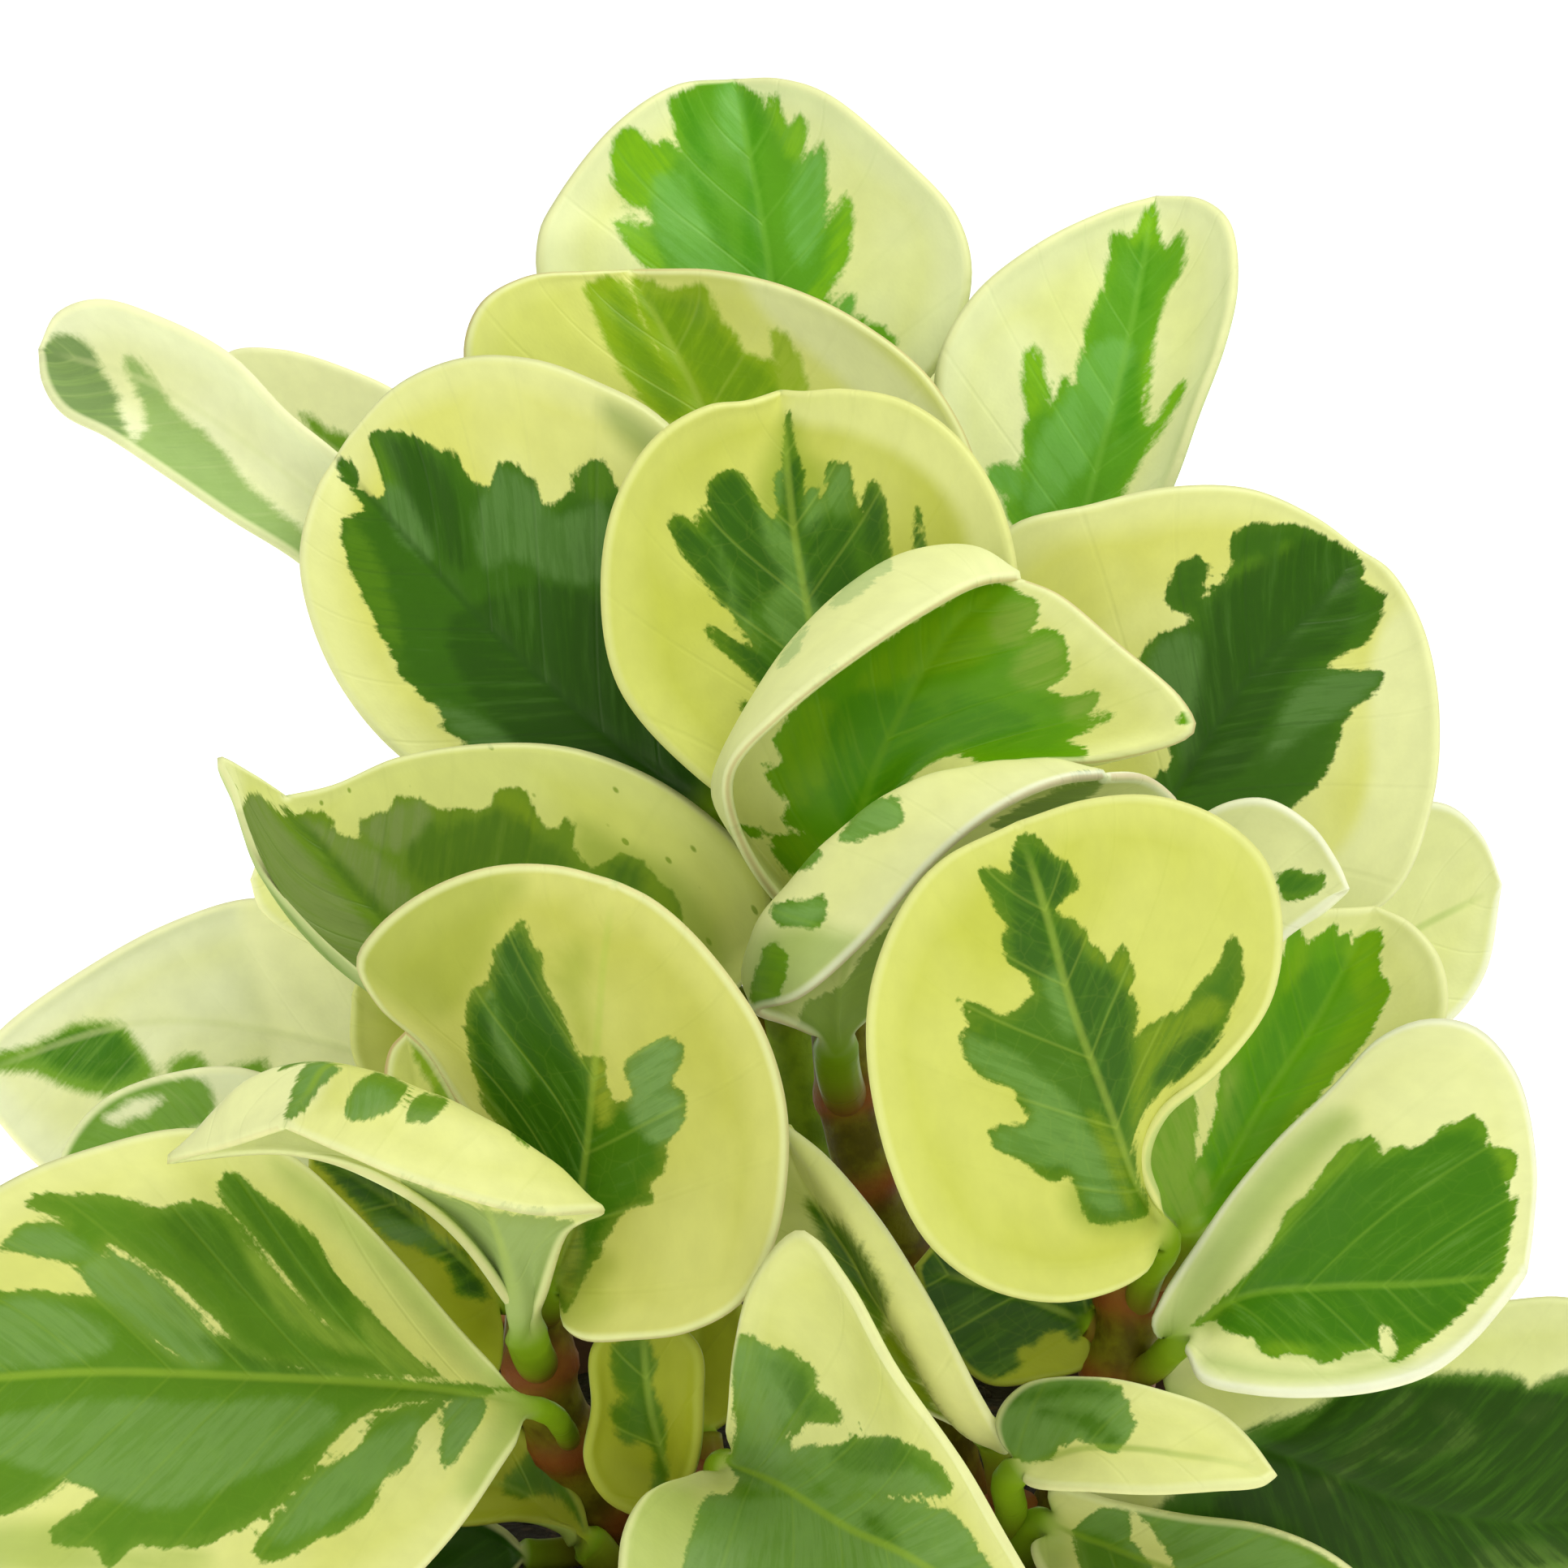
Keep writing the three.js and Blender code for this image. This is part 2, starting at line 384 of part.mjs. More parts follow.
// Leaves at the back, out of the front view: heading is degrees round from +X, rise is above level
const BACK_LEAVES = [
  { name: 'leaf_back_1', stem: 'stem_back', start: [-2, 46, 186], heading: 62, rise: 40, reach: 16, size: [52, 44] },
  { name: 'leaf_back_2', stem: 'stem_back', start: [-2, 46, 184], heading: 128, rise: 36, reach: 16, size: [54, 46] },
  { name: 'leaf_back_3', stem: 'stem_back', start: [-1, 45, 166], heading: 92, rise: 18, reach: 18, size: [56, 48] },
  { name: 'leaf_back_4', stem: 'stem_back', start: [1, 43, 152], heading: 30, rise: 14, reach: 18, size: [52, 42] },
  { name: 'leaf_back_5', stem: 'stem_back', start: [1, 43, 150], heading: 152, rise: 17, reach: 18, size: [54, 44] },
  { name: 'leaf_back_6', stem: 'stem_back', start: [3, 39, 134], heading: 56, rise: 8, reach: 18, size: [50, 40] },
  { name: 'leaf_back_7', stem: 'stem_back', start: [3, 39, 132], heading: 124, rise: 2, reach: 18, size: [48, 40] },
  { name: 'leaf_back_8', stem: 'stem_back', start: [5, 34, 118], heading: 12, rise: 8, reach: 18, size: [48, 40] },
  { name: 'leaf_back_9', stem: 'stem_back', start: [5, 34, 118], heading: 172, rise: 8, reach: 18, size: [48, 40] },
  { name: 'leaf_back_10', stem: 'stem_back', start: [-3, 46, 208], heading: 90, rise: 52, reach: 12, size: [50, 46] },
  { name: 'leaf_back_11', stem: 'stem_back', start: [-3, 46, 200], heading: 38, rise: 30, reach: 14, size: [50, 42] },
  { name: 'leaf_back_12', stem: 'stem_back', start: [-3, 46, 198], heading: 142, rise: 25, reach: 14, size: [50, 42] },
  { name: 'leaf_side_1', stem: 'stem_right', start: [35.8, 1, 180], heading: 60, rise: 25, reach: 15, size: [48, 40] },
  { name: 'leaf_side_2', stem: 'stem_left', start: [-28.8, -7.7, 161.4], heading: 92, rise: 20, reach: 15, size: [36, 32] },
  { name: 'leaf_side_3', stem: 'stem_right', start: [41.4, -21, 133], heading: 25, rise: 10, reach: 16, size: [38, 34] },
  { name: 'leaf_side_4', stem: 'stem_left', start: [-27.4, -19.3, 124], heading: 178, rise: 2, reach: 16, size: [48, 36] },
];

function ribDepth([base, middle, tip], f) {
  return base + (4 * middle - 3 * base - tip) * f + 2 * (base + tip - 2 * middle) * f * f;
}

// Gives each point of an edge its depth, from the rib's depth and the margin's lean, unless it has its own
function edgePoints(leaf, edge, lean) {
  return edge.map((point, n) => {
    if (point.length === 3) return seen(point);
    const f = (n + 1) / (edge.length + 1);
    return seen([point[0], point[1], ribDepth(leaf.depth, f) + lean * Math.sin(Math.PI * f)]);
  });
}

// The lines of a blade from base to tip: left margin, left fold, rib, right fold, right margin
function seenBlade(leaf) {
  const depth = leaf.depth ?? [leaf.base[2], 0, leaf.tip[2]];
  const base = seen([leaf.base[0], leaf.base[1], depth[0]]);
  const tip = seen([leaf.tip[0], leaf.tip[1], depth[2]]);
  const [leftLean, rightLean] = leaf.lean ?? [0, 0];
  const lines = {
    left: edgePoints(leaf, leaf.left, leftLean),
    rib: edgePoints(leaf, leaf.rib, 0),
    right: edgePoints(leaf, leaf.right, rightLean),
  };
  if (leaf.leftFold) {
    lines.leftFold = edgePoints(leaf, leaf.leftFold, 0);
    lines.rightFold = edgePoints(leaf, leaf.rightFold, 0);
  }
  return { name: leaf.name, base, tip, lines, petiole: leaf.petiole.map(seen) };
}

// A leaf set out by its heading and rise: an egg shaped blade that droops a little and is slightly cupped
function turnedBlade(leaf) {
  const heading = THREE.MathUtils.degToRad(leaf.heading);
  const rise = THREE.MathUtils.degToRad(leaf.rise);
  const out = new THREE.Vector3(Math.cos(heading), Math.sin(heading), 0);
  const side = new THREE.Vector3(-out.y, out.x, 0);
  const up = new THREE.Vector3(0, 0, 1);
  const along = out.clone().multiplyScalar(Math.cos(rise)).addScaledVector(up, Math.sin(rise));
  const lift = up.clone().multiplyScalar(Math.cos(rise)).addScaledVector(out, -Math.sin(rise));
  const start = new THREE.Vector3(...leaf.start);
  const base = start.clone().addScaledVector(out, leaf.reach * PETIOLE_RUN)
    .addScaledVector(up, leaf.reach * PETIOLE_CLIMB);
  const [length, width] = leaf.size;
  const place = (f, across, height) => base.clone().addScaledVector(along, f * length)
    .addScaledVector(side, across * width * 0.5)
    .addScaledVector(lift, height - BLADE_DROOP * length * f * f);
  const lines = {
    left: HALF_OUTLINE.map(([f, w]) => place(f, w, BLADE_CUP * w)),
    rib: [0.33, 0.66].map((f) => place(f, 0, 0)),
    right: HALF_OUTLINE.map(([f, w]) => place(f, -w, BLADE_CUP * w)),
  };
  return { name: leaf.name, base, tip: place(1, 0, 0), lines, petiole: [start] };
}

// Petiole and blade in one sweep: round rings up the petiole, then thin wide ones from base to tip
function leafSolid({ base, tip, lines, petiole }) {
  const across = lines.right[0].clone().sub(lines.left[0]).normalize();
  const whole = (line) => smoothCurve([base, ...line, tip]);
  const curves = Object.fromEntries(Object.entries(lines).map(([key, line]) => [key, whole(line)]));
  const stations = Array.from({ length: BLADE_STATIONS }, (_, i) => (i + 1) / (BLADE_STATIONS + 1));
  const rows = stations.map((t) => {
    const [left, rib, right] = [curves.left, curves.rib, curves.right].map((curve) => curve.getPointAt(t));
    const bend = left.clone().add(right).multiplyScalar(0.5).sub(rib);
    const quarter = (s) => rib.clone().addScaledVector(right.clone().sub(left), s / 2).addScaledVector(bend, s * s);
    const leftFold = curves.leftFold ? curves.leftFold.getPointAt(t) : quarter(-0.5);
    const rightFold = curves.rightFold ? curves.rightFold.getPointAt(t) : quarter(0.5);
    return [left, leftFold, rib, rightFold, right];
  });
  const lastAcross = rows.at(-1)[4].clone().sub(rows.at(-1)[0]).normalize();
  rows.push([-1, -0.5, 0, 0.5, 1].map((s) => tip.clone().addScaledVector(lastAcross, (s * TIP_WIDTH) / 2)));
  const baseRow = [-1, -0.5, 0, 0.5, 1].map((s) => base.clone().addScaledVector(across, s * PETIOLE_RADIUS));
  const bladeRings = rows.map((row, i) => {
    const before = i === 0 ? baseRow : rows[i - 1];
    const after = rows[Math.min(i + 1, rows.length - 1)];
    const normals = row.map((_, j) => {
      const sideways = row[Math.min(j + 1, 4)].clone().sub(row[Math.max(j - 1, 0)]);
      return sideways.cross(after[j].clone().sub(before[j])).normalize();
    });
    if (i === rows.length - 1) normals.fill(normals[2]);
    const shifted = (j, sign) => row[j].clone().addScaledVector(normals[j], (sign * BLADE_THICKNESS) / 2);
    return [0, 1, 2, 3, 4].map((j) => shifted(j, 1)).concat([4, 3, 2, 1, 0].map((j) => shifted(j, -1)));
  });
  const path = smoothCurve([...petiole, base, lines.rib[0]]);
  const end = petiole.length / (petiole.length + 1);
  const petioleRings = [0, 0.5 * end, end].map((t) => {
    const along = path.getTangent(t);
    const side = across.clone().addScaledVector(along, -across.dot(along)).normalize();
    const up = side.clone().cross(along).normalize();
    return Array.from({ length: RING_POINTS }, (_, k) => {
      const angle = Math.PI - ((k + 0.5) * 2 * Math.PI) / RING_POINTS;
      return path.getPoint(t).addScaledVector(side, PETIOLE_RADIUS * Math.cos(angle))
        .addScaledVector(up, PETIOLE_RADIUS * Math.sin(angle));
    });
  });
  return skin([...petioleRings, ...bladeRings]);
}

// Pot: a tapered clay wall with a straight rim band, closed below but for its drain holes
function potSolid() {
  const bandBottom = POT_HEIGHT - POT_RIM_HEIGHT;
  const waist = POT_RIM_RADIUS - 4;
  const profile = [[0, 0], [POT_FOOT_RADIUS - 1.5, 0], [POT_FOOT_RADIUS, 1.5], [waist, bandBottom],
    [POT_RIM_RADIUS - 1, bandBottom], [POT_RIM_RADIUS, bandBottom + 1.5], [POT_RIM_RADIUS, POT_HEIGHT - 2],
    [POT_RIM_RADIUS - 2, POT_HEIGHT], [POT_RIM_RADIUS - POT_WALL + 1, POT_HEIGHT],
    [POT_RIM_RADIUS - POT_WALL, POT_HEIGHT - 2], [POT_FOOT_RADIUS - POT_WALL + 1, POT_FLOOR], [0, POT_FLOOR]];
  const lathe = new THREE.LatheGeometry(profile.map(([r, z]) => new THREE.Vector2(r, z)), POT_SIDES);
  lathe.rotateX(Math.PI / 2);
  let pot = solidOf(lathe);
  for (let n = 0; n < DRAIN_COUNT; n += 1) {
    const angle = (2 * Math.PI * (n + 0.5)) / DRAIN_COUNT;
    const drain = new THREE.CylinderGeometry(DRAIN_RADIUS, DRAIN_RADIUS, 3 * POT_FLOOR, 12);
    drain.rotateX(Math.PI / 2);
    drain.translate(DRAIN_CIRCLE * Math.cos(angle), DRAIN_CIRCLE * Math.sin(angle), 0);
    pot = pot.subtract(solidOf(drain));
  }
  return pot;
}

// Soil: fills the pot to a low mound, with a plain hole for each stem
function soilSolid(holes) {
  const inner = (z) => {
    const top = POT_RIM_RADIUS - POT_WALL;
    const bottom = POT_FOOT_RADIUS - POT_WALL + 1;
    return bottom + ((top - bottom) * (z - POT_FLOOR)) / (POT_HEIGHT - 2 - POT_FLOOR) - FIT_GAP;
  };
  const low = POT_FLOOR + FIT_GAP;
  const profile = [[0, low], [inner(low), low], [inner(SOIL_TOP), SOIL_TOP],
    [SOIL_SHOULDER, SOIL_TOP + SOIL_MOUND * 0.8], [0, SOIL_TOP + SOIL_MOUND]];
  const lathe = new THREE.LatheGeometry(profile.map(([r, z]) => new THREE.Vector2(r, z)), POT_SIDES);
  lathe.rotateX(Math.PI / 2);
  return holes.reduce((soil, hole) => soil.subtract(hole), solidOf(lathe));
}

function build() {
  const stemHoles = [];
  const inflated = {};
  const stems = Object.entries(STEMS).map(([name, stem]) => {
    const points = stemAxis(stem);
    const [width, depth] = [stem.radius + FIT_GAP, 2 * STEM_FOOT_DEPTH];
    const hole = new THREE.CylinderGeometry(width, width, depth, HOLE_SIDES);
    hole.rotateX(Math.PI / 2);
    hole.translate(points[0].x, points[0].y, points[0].z - FIT_GAP + depth / 2);
    stemHoles.push(solidOf(hole));
    inflated[name] = solidOf(stemSolid(points, stem.radius + FIT_GAP));
    return [name, stemSolid(points, stem.radius)];
  });
  addPiece('pot', geometryOf(potSolid()), COLOURS.clay, 0.85);
  addPiece('soil', geometryOf(soilSolid(stemHoles)), COLOURS.soil, 1);
  for (const [name, geometry] of stems) addPiece(name, geometry, COLOURS.stem, 0.5);
  const blades = [...LEAVES.map((leaf) => [leaf.stem, seenBlade(leaf)]),
    ...BACK_LEAVES.map((leaf) => [leaf.stem, turnedBlade(leaf)])];
  for (const [stem, blade] of blades) {
    const trimmed = solidOf(leafSolid(blade)).subtract(inflated[stem]);
    addPiece(blade.name, geometryOf(trimmed), COLOURS.leaf, 0.35);
  }
}

build();

export default plant;
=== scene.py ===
"""Potted variegated peperomia: thick spoon shaped leaves, marbled green on yellow, in a plain clay pot.

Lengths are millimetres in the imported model's frame, and a mesh is scaled to metres as its points are set.
"""
import logging
import math
import random
from dataclasses import dataclass, field
from enum import Enum
from typing import Optional, Sequence, Union

import bmesh
import bpy
import numpy as np
from mathutils import Matrix, Vector, noise


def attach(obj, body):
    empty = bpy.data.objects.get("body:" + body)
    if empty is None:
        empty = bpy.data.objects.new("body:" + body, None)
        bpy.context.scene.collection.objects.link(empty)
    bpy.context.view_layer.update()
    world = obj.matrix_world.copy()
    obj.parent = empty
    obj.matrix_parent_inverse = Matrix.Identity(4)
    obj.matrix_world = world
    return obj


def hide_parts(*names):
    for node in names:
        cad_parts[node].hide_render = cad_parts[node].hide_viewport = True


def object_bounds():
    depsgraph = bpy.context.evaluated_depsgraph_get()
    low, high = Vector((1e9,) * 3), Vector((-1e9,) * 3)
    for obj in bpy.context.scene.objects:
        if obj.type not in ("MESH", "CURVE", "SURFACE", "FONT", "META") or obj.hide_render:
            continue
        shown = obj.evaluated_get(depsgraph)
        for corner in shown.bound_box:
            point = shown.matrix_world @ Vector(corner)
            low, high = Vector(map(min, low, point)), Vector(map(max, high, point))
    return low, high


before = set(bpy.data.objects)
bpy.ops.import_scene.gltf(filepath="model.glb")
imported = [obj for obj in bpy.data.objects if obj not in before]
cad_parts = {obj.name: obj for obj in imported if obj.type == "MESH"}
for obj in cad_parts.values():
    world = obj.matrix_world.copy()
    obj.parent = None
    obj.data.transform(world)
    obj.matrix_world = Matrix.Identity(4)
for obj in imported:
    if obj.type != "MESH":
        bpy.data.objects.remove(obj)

MM = 0.001
CAD_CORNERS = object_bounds()
CAD_BOX = tuple(np.array(corner) for corner in CAD_CORNERS)
log = logging.getLogger("peperomia")

Colour = tuple[float, float, float, float]
Point = Sequence[float]
Array = np.ndarray


def paint(screen: str) -> Colour:
    """Turns a colour as seen on a screen into the linear colour that a shader takes.

    Args:
        screen: red, green and blue as two hex digits each.

    Returns:
        The linear colour with full alpha.
    """
    shares = [int(screen[n:n + 2], 16) / 255 for n in (0, 2, 4)]
    return (*(x / 12.92 if x <= 0.04045 else ((x + 0.055) / 1.055) ** 2.4 for x in shares), 1.0)


def ease(low: float, high: float, value: Array) -> Array:
    """Rises smoothly from 0 at low to 1 at high.

    Args:
        low: where the rise begins.
        high: where it ends.
        value: the values to look up.

    Returns:
        The risen share for each value.
    """
    share = np.clip((value - low) / (high - low), 0, 1)
    return share * share * (3 - 2 * share)


def unit(vectors: Array) -> Array:
    """Vectors at length one, along the last axis."""
    length = np.linalg.norm(vectors, axis=-1, keepdims=True)
    return vectors / np.maximum(length, 1e-9)


@dataclass(frozen=True)
class FrontView:
    """The upright drawing that the leaves are laid out on, looked at from above at a tilt.

    Across and down are millimetres from its top left corner, and depth is towards the viewer.
    """

    tilt: float = math.radians(20)
    distance: float = 900.0
    half: float = 96.6
    height: float = 203.0

    @property
    def centre(self) -> Array:
        """The place in the frame that the drawing's middle shows."""
        return np.array([0, 0, self.height])

    @property
    def up(self) -> Array:
        """The direction that is up on the drawing."""
        return np.array([0, math.sin(self.tilt), math.cos(self.tilt)])

    @property
    def near(self) -> Array:
        """The direction from the drawing to the viewer."""
        return np.array([0, -math.cos(self.tilt), math.sin(self.tilt)])

    def place(self, drawn: Sequence[Point]) -> Array:
        """Turns drawn points into places in the frame.

        Args:
            drawn: points as across, down and depth.

        Returns:
            An array with a row of x, y and z for each point.
        """
        points = np.array(drawn, float)
        spread = (self.distance - points[:, 2:3]) / self.distance
        side = np.array([1.0, 0, 0])
        return (self.centre + (points[:, 0:1] - self.half) * spread * side
                + (self.half - points[:, 1:2]) * spread * self.up + points[:, 2:3] * self.near)

    def drawn(self, places: Array) -> Array:
        """Finds where places in the frame are seen on the drawing.

        Args:
            places: an array whose last axis is x, y and z.

        Returns:
            The same array with across and down as its last axis.
        """
        offset = places - self.centre
        spread = self.distance / (self.distance - offset @ self.near)
        return np.stack([self.half + offset[..., 0] * spread, self.half - (offset @ self.up) * spread], -1)


VIEW = FrontView()


class SmoothLine:
    """A smooth centripetal curve through points."""

    SAMPLES = 200

    def __init__(self, points: Sequence[Point]) -> None:
        """Works out each stretch's cubic and the curve's lengths.

        Args:
            points: the places that the curve runs through.
        """
        p = np.array(points, float)
        p = np.vstack([2 * p[0] - p[1], p, 2 * p[-1] - p[-2]])
        gap = np.maximum(np.sum(np.diff(p, axis=0) ** 2, axis=1) ** 0.25, 1e-4)[:, None]
        before, here, after = gap[:-2], gap[1:-1], gap[2:]
        p0, p1, p2, p3 = p[:-3], p[1:-2], p[2:-1], p[3:]
        start = ((p1 - p0) / before - (p2 - p0) / (before + here) + (p2 - p1) / here) * here
        end = ((p2 - p1) / here - (p3 - p1) / (here + after) + (p3 - p2) / after) * here
        self.cubics = np.stack([p1, start, 3 * (p2 - p1) - 2 * start - end, 2 * (p1 - p2) + start + end])
        self.steps = np.linspace(0, 1, self.SAMPLES + 1)
        run = np.linalg.norm(np.diff(self.point(self.steps), axis=0), axis=1)
        self.run = np.concatenate([[0], np.cumsum(run)])

    @property
    def length(self) -> float:
        """The whole curve's length."""
        return float(self.run[-1])

    def point(self, share: Array) -> Array:
        """Finds places on the curve.

        Args:
            share: shares of the count of stretches.

        Returns:
            A place for each share.
        """
        count = self.cubics.shape[1]
        place = np.clip(share, 0, 1) * count
        index = np.minimum(place.astype(int), count - 1)
        w = (place - index)[:, None]
        c0, c1, c2, c3 = self.cubics[:, index]
        return c0 + c1 * w + c2 * w ** 2 + c3 * w ** 3

    def at(self, share: Array) -> Array:
        """Places at shares of the curve's length."""
        return self.point(np.interp(share * self.length, self.run, self.steps))


class Tone(Enum):
    """What a patch on a leaf does to the blade's colour."""

    GREEN = "green"
    DARK = "dark"
    GREY = "grey"
    LIME = "lime"
    PALE = "pale"
    FAINT = "faint"
    BARE = "bare"


def drawn_points(text: str) -> list[Point]:
    """Reads points written as across,down or across,down,near with a space between two points."""
    return [tuple(float(value) for value in pair.split(",")) for pair in text.split()]


def rounded(outline: Sequence[Point], steps: int = 3) -> Array:
    """Rounds a closed outline off into a smooth one through the same points.

    Args:
        outline: the drawn points.
        steps: how many points stand for each drawn one.

    Returns:
        The points of the smooth outline.
    """
    here = np.array(outline, float)
    before, after, beyond = (np.roll(here, n, axis=0) for n in (1, -1, -2))
    share = (np.arange(steps) / steps)[None, :, None]
    before, here, after, beyond = (points[:, None] for points in (before, here, after, beyond))
    bend = 2 * before - 5 * here + 4 * after - beyond
    twist = 3 * (here - after) + beyond - before
    curve = here + 0.5 * share * ((after - before) + share * (bend + share * twist))
    return curve.reshape(-1, 2)


@dataclass(frozen=True)
class Patch:
    """A coloured patch of a leaf, as an outline on the drawing or on the blade laid flat."""

    tone: Tone
    outline: list[tuple[float, float]]

    def inside(self, chart: Array) -> Array:
        """Measures how far points lie inside the outline.

        Args:
            chart: an array whose last axis holds the points' two coordinates.

        Returns:
            Millimetres inside the outline, less than nought outside it.
        """
        corners = rounded(self.outline)
        ends = np.roll(corners, -1, axis=0)
        along = ends - corners
        offset = chart[..., None, :] - corners
        share = np.clip(np.sum(offset * along, -1) / np.sum(along * along, -1), 0, 1)
        gap = np.linalg.norm(offset - share[..., None] * along, axis=-1).min(-1)
        rises = (corners[:, 1] > chart[..., None, 1]) != (ends[:, 1] > chart[..., None, 1])
        rise = np.where(along[:, 1] == 0, 1, along[:, 1])
        meets = corners[:, 0] + (chart[..., None, 1] - corners[:, 1]) * along[:, 0] / rise
        odd = np.sum(rises & (chart[..., None, 0] < meets), -1) % 2 == 1
        return np.where(odd, gap, -gap)


@dataclass
class BladeLines:
    """The curves of one leaf in the frame, from its petiole's start to its tip."""

    petiole: Array
    base: Array
    tip: Array
    rib: SmoothLine
    left: SmoothLine
    right: SmoothLine
    rib_start: Array
    left_fold: Optional[SmoothLine] = None
    right_fold: Optional[SmoothLine] = None


@dataclass
class Leaf:
    """A leaf laid out on the front drawing.

    depth holds base, middle and tip of the rib, and lean is how far the margins stand nearer than the rib.
    """

    name: str
    petiole: list[Point]
    base: Point
    rib: list[Point]
    tip: Point
    left: list[Point]
    right: list[Point]
    left_fold: Optional[list[Point]] = None
    right_fold: Optional[list[Point]] = None
    depth: Optional[Point] = None
    lean: Point = (0, 0)

    @classmethod
    def traced(cls, name: str, *drawn: str, depth: Optional[Point] = None, lean: Point = (0, 0),
               **folds: str) -> "Leaf":
        """Makes a leaf from lines that are written as points.

        Args:
            name: the leaf's name.
            drawn: its petiole, base, rib, tip, left margin and right margin.
            depth: the rib's depth at base, middle and tip, where the points have none.
            lean: how far the margins stand nearer than the rib.
            folds: the left_fold and right_fold of a folded leaf.

        Returns:
            The leaf.
        """
        petiole, base, rib, tip, left, right = (drawn_points(line) for line in drawn)
        read = {key: drawn_points(line) for key, line in folds.items()}
        return cls(name, petiole, base[0], rib, tip[0], left, right, depth=depth, lean=lean, **read)

    def rib_depth(self, share: float) -> float:
        """The rib's depth at a share of its length, on a parabola through base, middle and tip."""
        base, middle, tip = self.depth
        return base + (4 * middle - 3 * base - tip) * share + 2 * (base + tip - 2 * middle) * share ** 2

    def edge(self, points: list[Point], lean: float = 0) -> SmoothLine:
        """Carries a line of the blade from its base through drawn points to its tip.

        Args:
            points: drawn points, with a depth of their own or none.
            lean: how far the line stands nearer than the rib at its middle.

        Returns:
            The curve in the frame.
        """
        deep = []
        for n, point in enumerate(points):
            share = (n + 1) / (len(points) + 1)
            if len(point) == 3:
                deep.append(point)
            else:
                deep.append((*point, self.rib_depth(share) + lean * math.sin(math.pi * share)))
        return SmoothLine(VIEW.place([self.base_point(), *deep, self.tip_point()]))

    def base_point(self) -> Point:
        """The drawn base with its depth."""
        return self.base if self.depth is None else (*self.base, self.depth[0])

    def tip_point(self) -> Point:
        """The drawn tip with its depth."""
        return self.tip if self.depth is None else (*self.tip, self.depth[2])

    def lines(self) -> BladeLines:
        """Carries the drawn lines into the frame.

        Returns:
            The leaf's curves.
        """
        base, tip = VIEW.place([self.base_point(), self.tip_point()])
        first = self.rib[0]
        if len(first) < 3:
            first = (*first, self.rib_depth(1 / (len(self.rib) + 1)))
        folds = {}
        if self.left_fold is not None:
            folds = {"left_fold": self.edge(self.left_fold), "right_fold": self.edge(self.right_fold)}
        return BladeLines(VIEW.place(self.petiole), base, tip, self.edge(self.rib),
                          self.edge(self.left, self.lean[0]), self.edge(self.right, self.lean[1]),
                          VIEW.place([first])[0], **folds)


@dataclass
class RearLeaf:
    """A leaf out of the front view, set by its heading round from +X and its rise above level."""

    name: str
    start: Point
    heading: float
    rise: float
    reach: float
    size: tuple[float, float]
    petiole_run: float = 0.8
    petiole_climb: float = 0.5
    droop: float = 0.22
    cup: float = 3.0
    half_outline: tuple = ((0.04, 0.45), (0.22, 0.86), (0.5, 1), (0.76, 0.84), (0.93, 0.45))
    rib_shares: tuple = (0.33, 0.66)
    fans: tuple = ((Tone.GREEN, 0.82), (Tone.DARK, 0.55))
    fan_angle: float = 78.0
    fan_bulge: tuple[float, float] = (0.82, 1.08)
    fan_notch: tuple[float, float] = (0.5, 0.8)
    fan_lobes: tuple = (4, 5, 6)
    fan_base: float = 0.18
    fan_length: float = 0.72

    def lines(self) -> BladeLines:
        """Makes an egg shaped blade that droops and is slightly cupped.

        Returns:
            The leaf's curves in the frame.
        """
        heading, rise = math.radians(self.heading), math.radians(self.rise)
        out = np.array([math.cos(heading), math.sin(heading), 0])
        side = np.array([-out[1], out[0], 0])
        up = np.array([0, 0, 1.0])
        along = out * math.cos(rise) + up * math.sin(rise)
        lift = up * math.cos(rise) - out * math.sin(rise)
        start = np.array(self.start, float)
        base = start + out * self.reach * self.petiole_run + up * self.reach * self.petiole_climb
        length, width = self.size

        def place(share: float, across: float, height: float) -> Array:
            """Finds a place on the blade.

            Args:
                share: its share of the blade's length.
                across: its share of half the width.
                height: its height above the blade's plane.

            Returns:
                The place in the frame.
            """
            bent = height - self.droop * length * share ** 2
            return base + along * share * length + side * across * width / 2 + lift * bent

        left = [place(f, w, self.cup * w) for f, w in self.half_outline]
        right = [place(f, -w, self.cup * w) for f, w in self.half_outline]
        rib = [place(f, 0, 0) for f in self.rib_shares]
        tip = place(1, 0, 0)
        curves = (SmoothLine([base, *inner, tip]) for inner in (rib, left, right))
        return BladeLines(start[None], base, tip, *curves, rib[0])

    def patches(self, draw: random.Random) -> list[Patch]:
        """Draws a fan of uneven lobes on the blade laid flat, with a darker fan inside it.

        Args:
            draw: the leaf's own random source.

        Returns:
            The patches, in millimetres to the side of the rib and along it.
        """
        length, width = self.size
        found = []
        for tone, reach in self.fans:
            count = draw.choice(self.fan_lobes)
            outline = [(0.0, -1.0)]
            for n in range(2 * count + 1):
                angle = math.radians(-self.fan_angle + 2 * self.fan_angle * n / (2 * count))
                bulge = reach * draw.uniform(*self.fan_bulge)
                bulge *= 1 if n % 2 else draw.uniform(*self.fan_notch)
                outline.append((math.sin(angle) * width * 0.5 * bulge,
                                length * (self.fan_base + self.fan_length * bulge * math.cos(angle))))
            found.append(Patch(tone, outline))
        return found


